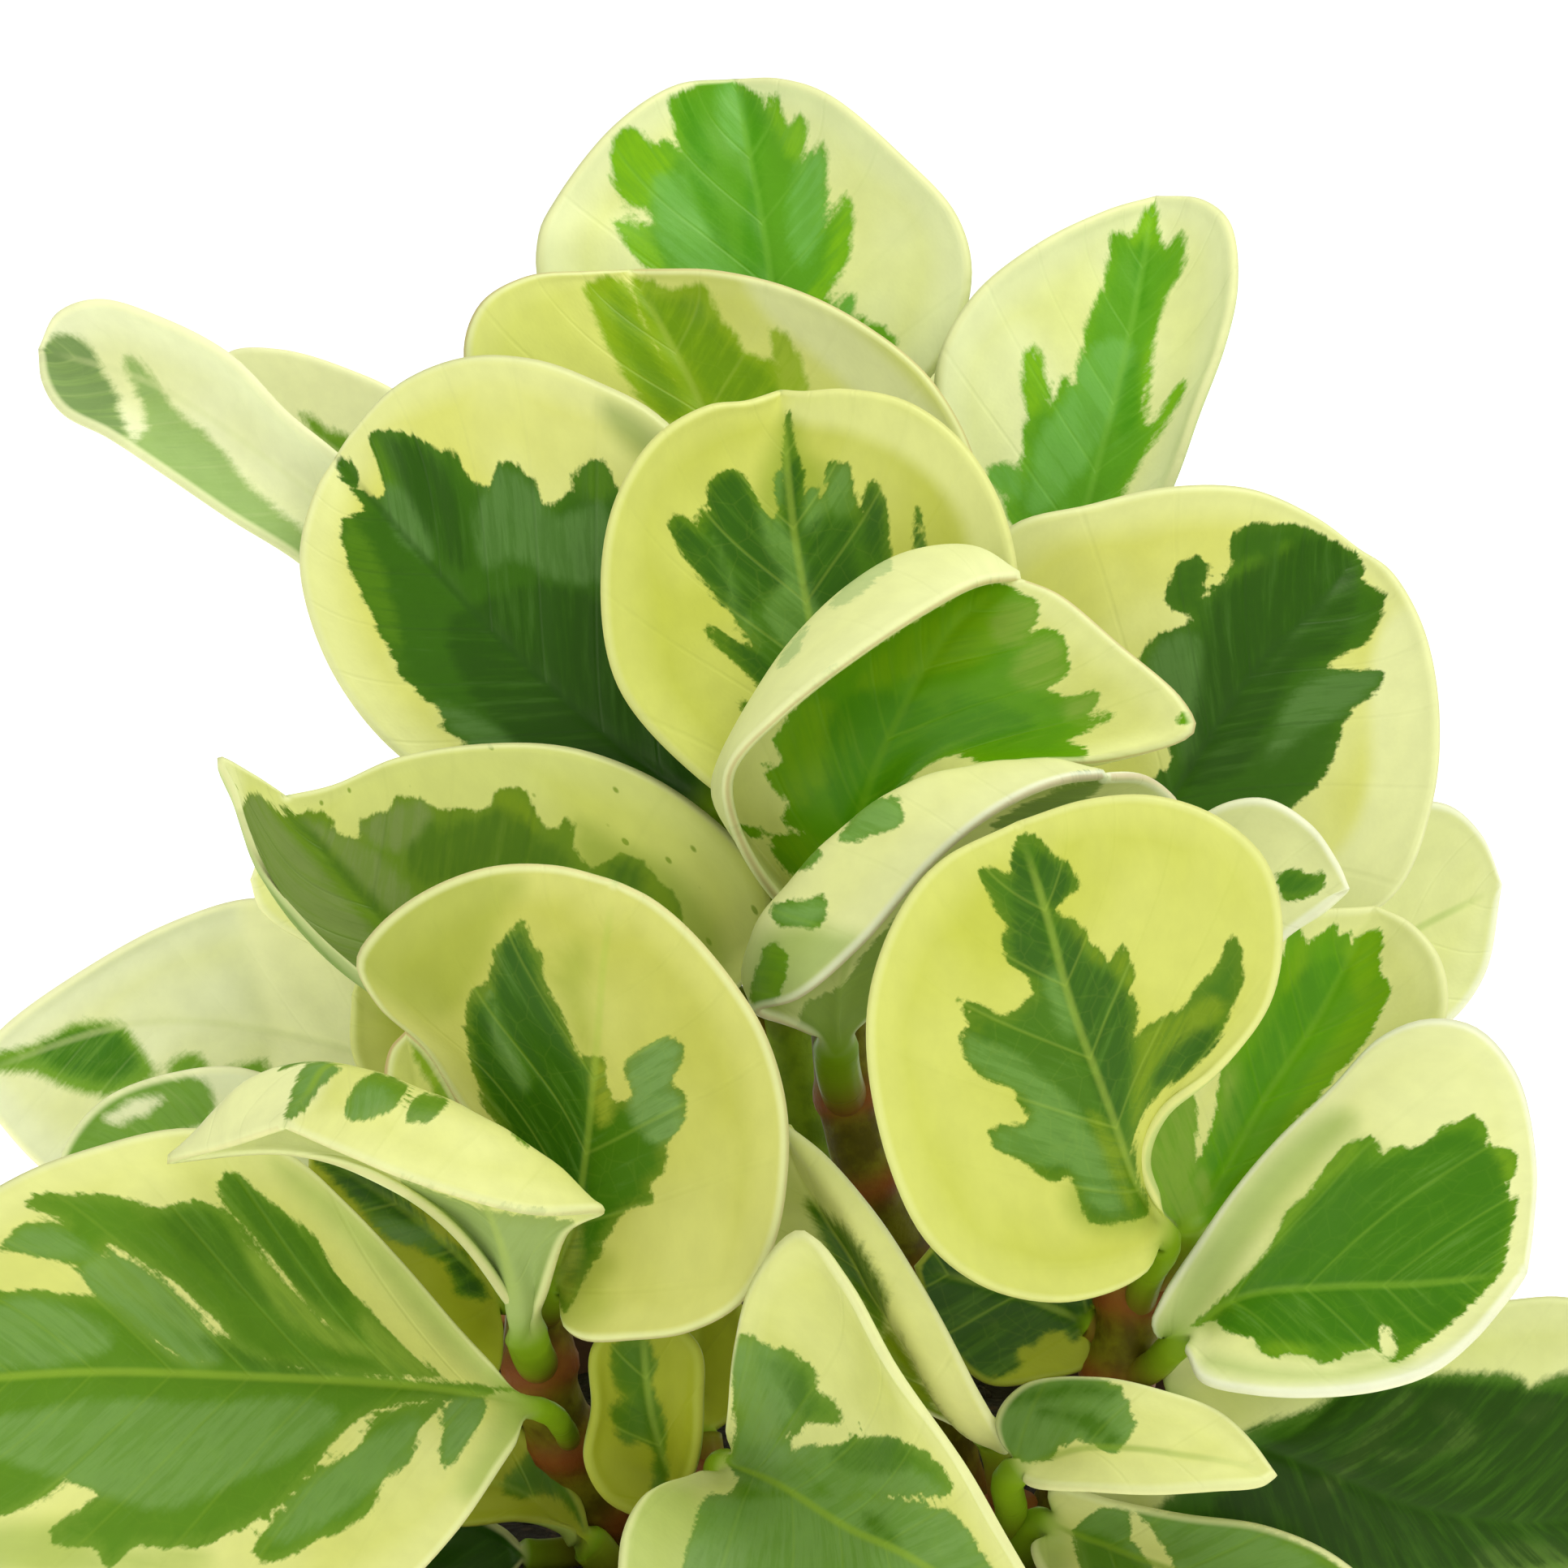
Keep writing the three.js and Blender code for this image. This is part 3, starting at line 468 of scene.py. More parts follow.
LEAVES = [
    Leaf.traced("leaf_crown_back", "98.9,78.5,-12.5 99,71.5,-27", "95.8,53", "95,35", "90.5,9.7",
        "80,47 67,36 66.4,29 68.5,24.5 75.5,15.5 83,10.5",
        "108,52 117,43.5 119.9,34 118,26.5 111,19 102,11.7 96,9.7", depth=(-36, -42, -52), lean=(4, 4)),
    Leaf.traced("leaf_crown_wide", "98.4,73.2,-13", "93,68", "86.2,49.6", "77.6,33.2",
        "74,63 61,53 57.2,44 59.2,37.4 65,34 72,33.4",
        "108,71 119,66 120.5,58.5 115,47 106,39.5 97,35.2 88,33.2 82,33.1", depth=(-20, -26, -31),
        lean=(3, 3)),
    Leaf.traced("leaf_upper_left_rolled", "64.2,94,-17.5", "54,74", "36,59 19,47.5", "4.7,43",
        "50,63 41.2,55.5 35,50.8 28,43.8 20,39.3 12,36.7 7,38.5",
        "47,78 36.8,69.3 28,64 20,58.5 13,53.6 7.6,50.6 5.2,47", depth=(-26, -30, -34), lean=(3, 5)),
    Leaf.traced("leaf_upper_left_pale", "66.2,105,-13.8 62,92,-27", "60,72", "42,56", "26,46",
        "50,74 38,67 29,56", "58,58 50,49 43,45.4 35,43 28.5,43.2", depth=(-38, -44, -48), lean=(1, 1)),
    Leaf.traced("leaf_upper_right_long", "130.2,96,-14.5", "130,75", "134.5,60 139,42", "142.5,24.1",
        "121,67 115.8,54 115.6,44.5 120,36.3 128,29.8 136,25.9",
        "140,69 145,59 147.8,51 150.8,42.5 152.3,34.5 151.4,27.4 148,24.5", depth=(-27, -34, -43),
        lean=(4, 4)),
    Leaf.traced("leaf_left_dark", "101.4,103,-10", "89,100.5", "80.8,95.3 63.4,80.6 48.7,64.8", "41.3,56.3",
        "78,103 62,101 49.3,93.2 42,84.5 38,75.5 36.9,68 38.8,60.5",
        "91,90 90,72 87,58 81,51 74,47.2 66,44.3 57.2,44 49,47.3 43.5,53", depth=(-4, -11, -18),
        lean=(2, -3)),
    Leaf.traced("leaf_centre_round", "102.3,111,-10", "103,102", "101.5,86 97.9,66", "96.2,48",
        "94,101 84.5,94.5 76.2,84.5 74,73 75.5,62 80.5,53.8 87,49.9 92,49.3",
        "113,100 122,90 125.6,76 124,64 119,55 112,49.6 104,47.9 99,48.2", depth=(3, -2, -8), lean=(4, 3)),
    Leaf.traced("leaf_centre_hood", "103.8,128,-11", "103.5,117,1", "106,100,9 111,88,10 118,77,11",
        "125.8,71.3,16", "97,112,6 91,102,14 90,95,20 96,88,24 106,80.3,25 115,74.8,23 121,72,19",
        "109,110,6 117,98.5,13.5 125,94.3,20 137,93.4,22 147.2,90,22 146,86.6,21 138,79.4,19 130.5,73.2,17",
        left_fold="99,112,1 92,103,3 88.7,97,6 92.4,89,8 98.4,79.2,9 105,72.6,9 112,68.6,10 120,67.9,12",
        right_fold="106.5,107,4 111,96.5,9 119.5,88,12.5 127,81.5,15 128.2,75.5,16"),
    Leaf.traced("leaf_right_dark", "131.4,112,-11", "139,107", "147,94 155,82 163,74", "167.5,67.6",
        "128,101 119,86 118,73 124.5,64.8 134,62.2 144,60 154,60.2 162,63.6",
        "151,113 163,115 172,110 176.5,99 177.4,88 175.5,77.5 171.5,70.4", depth=(-5, -9, -15), lean=(3, 2)),
    Leaf.traced("leaf_centre_curled", "104.5,136,-12 103.5,133,-5", "103,129,2",
        "103.5,121,8 108,110,14 118,101,20 128,97.4,26", "136.5,95.7,32",
        "109,124,6 122,119,12 137,110,18 145.5,100,24 142,95.9,28",
        "96.5,126,12 93.6,124.6,18 98.5,123,23 106,116.5,28 115,106.5,32 123,100.2,34 131,96.5,34",
        left_fold="106,123,7 114,114,13 126,106,18 137,100,24 139,96.2,28",
        right_fold="""
    98,124,9 92.6,120.5,13 93.2,115,17 98,108.4,21 104,102.3,24 112,97,27 121,94.7,28 130,94.2,29"""),
    Leaf.traced("leaf_left_folded", "68,133,-8", "67,131", "57,121.5 47,113 41.5,107", "35.2,98",
        "61,131.5 54,127.5 46,121 38,114 31.5,106 28.4,97.5 26.8,93.2 31,95.2",
        "80,128.5 93.5,119 95,111 92,105 86,99.3 79,95 70,92 60,91.6 49,93.3 41,96.7", depth=(4, 4, 4),
        lean=(3, -3)),
    Leaf.traced("leaf_front_left_round", "66.6,163,-3.5", "68.8,158", "71.5,148 73.3,132 74.5,118",
        "75.8,108.5",
        "66.5,152 61,143 56,135 52,129 46.5,124 43.8,118.5 46,114.5 52,109.8 60,106.8 68,106.6",
        """
    69.3,163 72,165.2 78,165.2 85,164.2 91.5,160.5 95.5,153 97,143 96.5,135 94,127 90,120.5 85,114.5
    80.5,110.8""", depth=(10, 22, 30), lean=(6, 6)),
    Leaf.traced("leaf_front_right_round", "139.6,163,-2 141.5,157,8", "143.5,152.5",
        "139.8,146 136.8,137 132,124 129,113", "125.3,101.2",
        """
    141.8,156.3 137,159.2 129.7,160.5 121,158.5 114,153 109.5,144 106.8,131 107.3,121.5 111,112 116,106""",
        "143.4,149.4 141,143 143.6,137 150,132 156.5,123.5 158,114 156,106 150,100.5 142,97.9 134,98.4",
        depth=(18, 32, 38), lean=(6, 4)),
    Leaf.traced("leaf_right_small", "134.8,133,-5", "141,124", "151,112.4", "166.3,109.5",
        "141,112 148,100.5 155.5,98.3 161.5,101.5 164.8,106", "150,126 158.3,115.8 163,112",
        depth=(7, 12, 12), lean=(1, 1)),
    Leaf.traced("leaf_right_pale", "132.4,121,-8.5", "160,126", "172,116", "185.1,109",
        "163,109 171,99.7 178,99 182.5,102.8", "170,130 178,126.5 183,120", depth=(-30, -36, -40),
        lean=(1, 1)),
    Leaf.traced("leaf_right_bright", "139.7,159,-1", "146,152.5", "151,144 156,135 162,126", "169.5,111.6",
        "142,149 140.5,140 145,130 152,120.5 160,113",
        "156,149 168,142 176,131 178.5,124 177.5,118 174,113.8", depth=(5, 5, 2), lean=(3, 2)),
    Leaf.traced("leaf_right_spoon", "137.6,170.4,-4 142,168.4,2", "145,165.6",
        "153,160 163,158.7 176,158.2", "188.2,156.8",
        """
    141.2,165.6 143,160 147.5,153 152,146.6 157.5,140.2 164,134 170,127.8 176,125.5 182,126.6 187,132.5
    189.3,143 189,151""", "146.2,167 148,170.2 154,171.6 162,172 170,171.2 177,169 182,165 186,160",
        depth=(9, 17, 22), lean=(-4, 8)),
    Leaf.traced("leaf_left_back_pale", "68,138,-7", "56,134", "38,128 18,126", "-5,133",
        "49,146 34,151 18,149.5 6,144.6 -1.5,136.8",
        "52,122 44,114.7 37,111.2 30,110.8 20,114 10,119.5 0.5,126.5", depth=(-18, -22, -26), lean=(2, 1)),
    Leaf.traced("leaf_left_grey", "67,151,-4.5", "47,147", "30,143 16,141.5", "6.5,145.5",
        "40,155 24,157 11,152", "40,136.5 30,131.6 21,132.2 13,135.3 8.3,140.5", depth=(-4, 0, 2),
        lean=(0, 0)),
    Leaf.traced("leaf_left_near", "70.2,178,-10 69.4,176,4", "66.4,173.6", "52,171 30,169.6 10,169.1",
        "-14,171", "64.6,176.4 61.6,181 56,189 48,197 36,203 20,205 4,200 -8,189 -13,180",
        """
    63.8,171.2 56.4,163.4 49.2,155.2 42.4,148 36.4,142.6 30,139.8 22,139 12,141.2 2,145 -8,152 -13,161""",
        depth=(16, 32, 44), lean=(6, -4)),
    Leaf.traced("leaf_left_horn", "66.5,168.5,-3", "65,165,13", "61,150,24 52,136,32 41,131.6,36 38,135,40",
        "35,139,44", "67,160,18 70,152,28 74.4,149.4,36 65,149.4,44 50,145.4,46 43,142.6,46",
        "62.5,160.5,18 54,150.3,26 45,144.4,31 34,142.2,34 20.4,143.4,36 27,141.4,41",
        left_fold="66,160,16 66,151,25 70,146,33 60,139,38 48,137,42 41,138,44",
        right_fold="63,160,15 56,150,22 49.5,145.4,28 38,133,33 30,134,36 31,138,40"),
    Leaf.traced("sprout_left", "67.6,146,-5.5", "54.6,143.6", "51.5,135", "50,127",
        "50.4,141 47.6,134.5 48,129.5", "59.6,142 56.5,135.2 53,129.6", depth=(12, 13, 15), lean=(1, 1)),
    Leaf.traced("leaf_left_shaded", "67,157,-4", "62,160", "51,150", "38,141",
        "61,170 54,171 46,164 38.5,151", "63,153 57,148 48.5,143 42,140.3", depth=(4, 10, 14), lean=(0, 0)),
    Leaf.traced("leaf_front_small_cup", "87.6,187,-7.5", "83.5,185", "80,173", "79,160",
        "79.5,187 74.4,184.8 71.8,180 72.7,173.5 72.8,166", "85.6,180.5 86.3,173 86,166", depth=(-1, 7, 10),
        lean=(3, 3)),
    Leaf.traced("leaf_front_low", "88.4,182.5,-5", "89.5,180.5", "96,183 105,188.5 113,192.3", "133,206",
        "89.6,175 90.3,166 93,157 98.8,151.4 104,157 110,168 117.5,179 122.5,188 128.5,198",
        "84.5,182.3 79,184.6 76.3,191 78,203 90,213 108,216 124,212", depth=(12, 38, 54), lean=(4, 6)),
    Leaf.traced("leaf_front_narrow", "123.9,185.5,-3", "122,177,4", "112,166,12 104,153,12 99,145,12",
        "96.7,138.4,16", "114,174,6 103,166,8 95,154,8 94,145,10",
        "124.6,178.6,12 120,170,18 113.5,158,20 108,149.5,20 102,142.5,18",
        left_fold="114,171,8 107,161,10 99,150,10 96.5,143,12",
        right_fold="117.5,175,12 111,162,20 104.5,149,20 99.5,142.5,18"),
    Leaf.traced("leaf_front_level", "124.9,190,-6.5 124.6,186,7", "125,181.4", "134,178.6 146,179.6",
        "157.4,181.8", "122.6,175 126,170.6 135,169.8 143,171.5 150,174 154.2,177.6",
        "127,183.1 134,183.6 142,183.9 150,183.4 155.5,183", depth=(18, 22, 24), lean=(-6, 4)),
    Leaf.traced("leaf_middle_shaded", "138.5,166.5,-3", "134.2,163", "124,159", "112.6,156",
        "134.4,168 129,170 121.5,170.5 115,163.5", "137.8,158 134,151.5 126,149 117,151.5",
        depth=(-3, -2, 1), lean=(0, 0)),
    Leaf.traced("leaf_right_low_dark", "136.4,173,-7", "141.4,174", "160,180 176,186 193,187", "211,178",
        "143.4,167.6 150,165 168,160 184,160.2 193,159.8 203,163",
        "131.6,180.6 136,190 146,199 160,203.6 176,205 193,206 206,196", depth=(4, 2, -4), lean=(-6, 2)),
    Leaf.traced("leaf_right_low_front", "125.2,196,-11.5", "128.2,187.6", "141,192.4 156,198", "174,207",
        "129.4,183.4 137,184.9 146,186.5 156,188 165,192 172,199",
        "127,191.4 129.8,196 138,200.5 150,208 164,211", depth=(6, 15, 22), lean=(-2, 4)),
    Leaf.traced("leaf_low_strap", "76.5,196,-20 74.8,193,-14", "72.8,190.4", "62,183", "46,182",
        "70.5,188.4 64,187.6 55,187.9", "71.6,184.8 66,177.5 59,172", depth=(-12, -8, -5), lean=(0, 0)),
    Leaf.traced("leaf_low_dark", "76.8,190,-23", "65,191.5", "57,188.6", "46.5,188",
        "62,195 55,194.8 49,192.4", "62,188.2 54,185.2 49,186", depth=(-18, -15, -12), lean=(0, 0)),
    Leaf.traced("leaf_middle_olive", "88,184,-6", "87,177", "86,168", "86.5,157", "83,173 81.5,166 83,160",
        "91,174 92.8,167 91,160", depth=(-10, -12, -14), lean=(1, 1)),
    Leaf.traced("leaf_left_sliver", "68.2,125,-9.5", "50,116", "41,110", "30.8,108.4",
        "44,118 36,115.2 32,112", "46,106.5 38,103.4 32.6,104.6", depth=(-11, -11, -11), lean=(0, 0)),
    Leaf.traced("leaf_left_olive", "68.1,143,-6.5", "63,138", "54,129", "43.3,122.5",
        "56,141 48,137.5 43.4,130", "60,124 53,117 46,116.6", depth=(-6, -7, -8), lean=(0, 0)),
]
REAR_LEAVES = [
    RearLeaf("leaf_back_1", (-2, 46, 186), 62, 40, 16, (52, 44)),
    RearLeaf("leaf_back_2", (-2, 46, 184), 128, 36, 16, (54, 46)),
    RearLeaf("leaf_back_3", (-1, 45, 166), 92, 18, 18, (56, 48)),
    RearLeaf("leaf_back_4", (1, 43, 152), 30, 14, 18, (52, 42)),
    RearLeaf("leaf_back_5", (1, 43, 150), 152, 17, 18, (54, 44)),
    RearLeaf("leaf_back_6", (3, 39, 134), 56, 8, 18, (50, 45)),
    RearLeaf("leaf_back_7", (3, 39, 132), 124, 2, 18, (48, 45)),
    RearLeaf("leaf_back_8", (5, 34, 118), 12, 8, 18, (48, 40)),
    RearLeaf("leaf_back_9", (5, 34, 118), 172, 8, 18, (48, 40)),
    RearLeaf("leaf_back_10", (-3, 46, 208), 90, 52, 12, (50, 46)),
    RearLeaf("leaf_back_11", (-3, 46, 200), 38, 30, 14, (50, 42)),
    RearLeaf("leaf_back_12", (-3, 46, 198), 142, 25, 14, (50, 42)),
    RearLeaf("leaf_side_1", (35.8, 1, 180), 60, 25, 15, (48, 40)),
    RearLeaf("leaf_side_2", (-28.8, -7.7, 161.4), 92, 20, 15, (36, 32)),
    RearLeaf("leaf_side_3", (41.4, -21, 133), 25, 10, 16, (38, 34)),
    RearLeaf("leaf_side_4", (-27.4, -19.3, 124), 178, 2, 16, (48, 36)),
]


def tube_mesh(name: str, rings: Array, values: dict[str, Array]) -> bpy.types.Mesh:
    """Bends a grid into a tube through rings of places, closed at its seam and at both ends.

    Args:
        name: the mesh's name.
        rings: places as ring, step round the ring, and x, y and z.
        values: numbers for each place, kept as attributes of the mesh.

    Returns:
        The finished mesh in metres.
    """
    count, around = rings.shape[:2]
    rings = np.clip(rings * MM, *CAD_BOX)
    bm = bmesh.new()
    layers = {key: bm.verts.layers.float.new(key) for key in values}
    bmesh.ops.create_grid(bm, x_segments=around, y_segments=count - 1, size=1.0)
    for vert in bm.verts:
        step = round((vert.co.x + 1) / 2 * around) % around
        ring = round((vert.co.y + 1) / 2 * (count - 1))
        vert.co = rings[ring, step]
        for key, layer in layers.items():
            vert[layer] = values[key][ring, step]
    bmesh.ops.remove_doubles(bm, verts=bm.verts, dist=1e-7)
    return finished_mesh(bm, name)


def finished_mesh(bm: bmesh.types.BMesh, name: str) -> bpy.types.Mesh:
    """Turns a bmesh's faces outwards and makes it a smooth mesh.

    Args:
        bm: the bmesh, which is freed.
        name: the mesh's name.

    Returns:
        The mesh.
    """
    bmesh.ops.recalc_face_normals(bm, faces=bm.faces)
    for face in bm.faces:
        face.smooth = True
    mesh = bpy.data.meshes.new(name)
    bm.to_mesh(mesh)
    bm.free()
    return mesh


def show(name: str, mesh: bpy.types.Mesh, material: bpy.types.Material, node: str) -> None:
    """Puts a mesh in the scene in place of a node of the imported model.

    Args:
        name: the piece's name.
        mesh: its mesh, already in place.
        material: its finish.
        node: the node that it stands for.
    """
    piece = bpy.data.objects.new(name, mesh)
    bpy.context.scene.collection.objects.link(piece)
    mesh.materials.append(material)
    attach(piece, "root")
    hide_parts(node)
    log.info("%s: %d faces", name, len(mesh.polygons))


VEIN_SLOPE = 1.1
VEIN_BEND = 0.012
OUTSIDE = 9.0


@dataclass
class Blade:
    """A fleshy leaf with its petiole, as one closed skin."""

    name: str
    lines: BladeLines
    tint: "Tint"
    patches: list[Patch]
    flat_chart: bool = False
    brown_rim: float = 0.06
    thickness: float = 1.2
    petiole_radius: float = 2.0
    joint_reach: float = 9.0
    petiole_rings: int = 9
    blade_rings: int = 76
    groove: float = 0.28
    keel: float = 0.75
    wave: float = 0.35
    margin_crowding: float = 0.06
    end_crowding: float = 0.09
    collar_share: float = 0.08
    stalk_share: float = 0.1
    steady_row: float = 0.12
    steady_share: float = 0.14
    stout_above: float = 0.6
    petiole_margin: float = 4.0
    wave_run: float = 7.5
    wave_shift: float = 1.7
    vein_gap: float = 8.5
    half_steps: int = 28

    def columns(self) -> Array:
        """Spaces the columns, closer together at the rib and the margins.

        Returns:
            Places across the blade, from -1 at the left margin to 1 at the right one.
        """
        even = np.linspace(0, 1, self.half_steps + 1)[1:]
        half = even - self.margin_crowding * np.sin(2 * math.pi * even)
        return np.concatenate([-half[::-1], [0], half])

    def stations(self) -> Array:
        """Shares of the blade's length, closer together at its base and tip."""
        even = np.linspace(0, 1, self.blade_rings + 1)[1:-1]
        return even - self.end_crowding * np.sin(2 * math.pi * even) / (2 * math.pi) * 2

    def sheet(self, s: Array, t: Array) -> Array:
        """Finds the blade's middle surface.

        Args:
            s: the places across, from -1 at the left margin to 1 at the right one.
            t: the rows' shares of the length.

        Returns:
            The surface as row along the blade, column across it, and place.
        """
        lines = self.lines
        left, rib, right = (line.at(t)[:, None] for line in (lines.left, lines.rib, lines.right))
        across = s[None, :, None]
        if lines.left_fold is None:
            return rib + (right - left) * across / 2 + ((left + right) / 2 - rib) * across ** 2
        left_fold, right_fold = (line.at(t)[:, None] for line in (lines.left_fold, lines.right_fold))
        knots = np.concatenate([left, left_fold, rib, right_fold, right], axis=1)
        return np.stack([SmoothLine(row).point((s + 1) / 2) for row in knots])

    def normals(self, sheet: Array, t: Array) -> Array:
        """Finds the upper face's directions, evened out near the base where the rows crowd together.

        Args:
            sheet: the middle surface.
            t: each row's share of the length.

        Returns:
            A unit vector out of the upper face for each place.
        """
        across = np.gradient(sheet, axis=1)
        along = np.gradient(sheet, axis=0)
        found = unit(np.cross(across, along))
        middle = sheet.shape[1] // 2
        steady = found[np.searchsorted(t, self.steady_row), middle]
        share = ease(0.0, self.steady_share, t)[:, None, None]
        return unit(found * share + steady * (1 - share))

    def measures(self, sheet: Array, t: Array) -> tuple[Array, Array, Array]:
        """Measures the laid flat blade.

        Args:
            sheet: the middle surface.
            t: each row's share of the length.

        Returns:
            For each place, millimetres to the right of the rib, along it, and in from the nearest margin.
        """
        step = np.linalg.norm(np.diff(sheet, axis=1), axis=-1)
        run = np.concatenate([np.zeros((len(t), 1)), np.cumsum(step, axis=1)], axis=1)
        middle = sheet.shape[1] // 2
        side = run - run[:, middle:middle + 1]
        along = np.repeat((t * self.lines.rib.length)[:, None], sheet.shape[1], axis=1)
        tip_gap = np.linalg.norm(sheet - self.lines.tip, axis=-1)
        margin = np.minimum(np.minimum(run, run[:, -1:] - run), tip_gap)
        return side, along, margin

    def blade_rings_of(self, s: Array) -> tuple[Array, dict[str, Array]]:
        """Skins the blade above and below its middle surface.

        Args:
            s: the places across the blade.

        Returns:
            The rings, and each place's numbers for the finish.
        """
        t = self.stations()
        sheet = self.sheet(s, t)
        normal = self.normals(sheet, t)
        side, along, margin = self.measures(sheet, t)
        sheet = sheet + normal * self.ripple(s, t, along)[..., None]
        above, below = self.depths(t, side, along, margin)
        top = sheet + normal * above[..., None]
        bottom = (sheet - normal * below[..., None])[:, -2:0:-1]
        rings = np.concatenate([top, bottom], axis=1)
        collar = self.collar(sheet, normal, s)
        blend = ease(0.0, self.collar_share, t)[:, None, None]
        rings = rings * blend + collar * (1 - blend)
        chart = np.stack([side, along], -1) if self.flat_chart else VIEW.drawn(sheet)
        values = {"side": side, "along": along, "margin": margin, **self.tones(chart)}
        values = {key: np.concatenate([value, value[:, -2:0:-1]], axis=1) for key, value in values.items()}
        values["under"] = np.concatenate([np.zeros_like(side), np.ones_like(side[:, -2:0:-1])], axis=1)
        values["stalk"] = np.repeat(1 - ease(0.0, self.stalk_share, t)[:, None], rings.shape[1], axis=1)
        values["joint"] = np.zeros_like(values["stalk"])
        return rings, values

    def ripple(self, s: Array, t: Array, along: Array) -> Array:
        """How far the blade's slow waves lift each place.

        Args:
            s: the places across the blade.
            t: each row's share of the length.
            along: millimetres along the rib.

        Returns:
            Millimetres out of the upper face.
        """
        phase = random.Random(self.name).uniform(0, 6)
        turn = along / self.wave_run + phase + self.wave_shift * np.sign(s)[None, :]
        ripple = self.wave * s[None, :] ** 2 * np.sin(turn)
        ripple *= ease(0, 0.25, t)[:, None] * ease(0, 0.15, 1 - t)[:, None]
        return ripple

    def depths(self, t: Array, side: Array, along: Array,
               margin: Array) -> tuple[Array, Array]:
        """How far the two faces stand off the middle surface.

        Args:
            t: each row's share of the length.
            side: millimetres to the right of the rib.
            along: millimetres along it.
            margin: millimetres in from the nearest margin.

        Returns:
            The depths above and below, with the groove, the side veins and the keel.
        """
        edge_radius, swell, swell_at, swell_width, stout_width = 0.75, 0.18, 1.1, 0.7, 2.2
        groove_width, keel_width, vein_height, vein_fade = 0.8, 1.3, 0.07, 5
        rounded_edge = np.sqrt(1 - (1 - np.clip(margin / edge_radius, 0, 1)) ** 2)
        plump = 1 + swell * np.exp(-((margin - swell_at) / swell_width) ** 2)
        half = self.thickness / 2 * rounded_edge * plump
        near_base = 1 - ease(0, 0.16, t)[:, None]
        stout = (self.petiole_radius - self.thickness / 2) * near_base * np.exp(-(side / stout_width) ** 2)
        vein_run = along - VEIN_SLOPE * np.abs(side) + VEIN_BEND * side ** 2
        vein = np.cos(2 * math.pi * vein_run / self.vein_gap)
        inner = np.clip(margin / vein_fade, 0, 1)
        hollow = self.groove * np.exp(-(side / groove_width) ** 2) * (1 - 0.5 * t[:, None]) * inner
        above = half + stout * self.stout_above - hollow + vein_height * vein * inner
        keel = self.keel * np.exp(-(side / keel_width) ** 2) * (1 - t[:, None]) ** 1.5 * inner
        return above, half + stout + keel

    def collar(self, sheet: Array, normal: Array, s: Array) -> Array:
        """Makes round rings on the rib, which the blade's first rings grow out of.

        Args:
            sheet: the middle surface.
            normal: its directions out of the upper face.
            s: the places across the blade.

        Returns:
            A ring for each row.
        """
        middle = sheet.shape[1] // 2
        centre = sheet[:, middle][:, None]
        out = unit(sheet[:, -1] - sheet[:, 0])[:, None]
        up = normal[:, middle][:, None]
        return self.round_ring(centre, out, up, s, self.petiole_radius)

    @staticmethod
    def round_ring(centre: Array, out: Array, up: Array, s: Array,
                   radius: float) -> Array:
        """Circles whose points match the blade's columns above and below.

        Args:
            centre: each circle's middle.
            out: its direction to the right.
            up: its direction out of the upper face.
            s: the blade's columns.
            radius: the circles' radius.

        Returns:
            A ring of places for each centre.
        """
        turn = s * math.pi / 2
        x = np.concatenate([np.sin(turn), np.sin(turn[-2:0:-1])])[None, :, None]
        y = np.concatenate([np.cos(turn), -np.cos(turn[-2:0:-1])])[None, :, None]
        return centre + out * x * radius + up * y * radius

    def petiole_rings_of(self, s: Array) -> tuple[Array, dict[str, Array]]:
        """Makes the petiole, from inside its stem to the blade's base.

        Args:
            s: the places across the blade.

        Returns:
            The rings, and each place's numbers for the finish.
        """
        lines = self.lines
        path = SmoothLine([*lines.petiole, lines.base, lines.rib_start])
        end = len(lines.petiole) / (len(lines.petiole) + 1)
        share = np.linspace(0, end, self.petiole_rings + 1)
        centre = path.point(share)
        along = unit(np.gradient(centre, axis=0))
        low_row = np.array([self.stalk_share])
        wide = unit(lines.right.at(low_row) - lines.left.at(low_row))
        out = unit(wide - along * np.sum(along * wide, -1, keepdims=True))
        up = unit(np.cross(out, along))
        rings = self.round_ring(centre[:, None], out[:, None], up[:, None], s, self.petiole_radius)
        rings[0] = centre[0]
        flat = np.zeros(rings.shape[:2])
        to_base = np.linalg.norm(centre - lines.base, axis=-1)[:, None] + flat
        from_stem = np.linalg.norm(centre - lines.petiole[0], axis=-1)[:, None] + flat
        names = ("side", "under", *(tone.value for tone in Tone if tone is not Tone.BARE))
        values = {name: flat.copy() for name in names}
        values.update({"along": -to_base, "margin": flat + self.petiole_margin, "stalk": flat + 1})
        values["joint"] = np.exp(-(from_stem / self.joint_reach) ** 2)
        return rings, values

    def tones(self, chart: Array) -> dict[str, Array]:
        """How far each place lies inside each kind of patch.

        Args:
            chart: the places on the drawing, or on the blade laid flat.

        Returns:
            Millimetres inside each kind of patch, less than nought outside.
        """
        away = np.full(chart.shape[:2], -OUTSIDE)
        found = {tone.value: away.copy() for tone in Tone if tone is not Tone.BARE}
        for patch in self.patches:
            depth = patch.inside(chart)
            if patch.tone is Tone.BARE:
                found = {key: np.minimum(value, -depth) for key, value in found.items()}
                continue
            for tone in {patch.tone} if patch.tone in (Tone.PALE, Tone.FAINT) else {patch.tone, Tone.GREEN}:
                found[tone.value] = np.maximum(found[tone.value], depth)
        return {key: np.clip(value, -OUTSIDE, OUTSIDE) for key, value in found.items()}

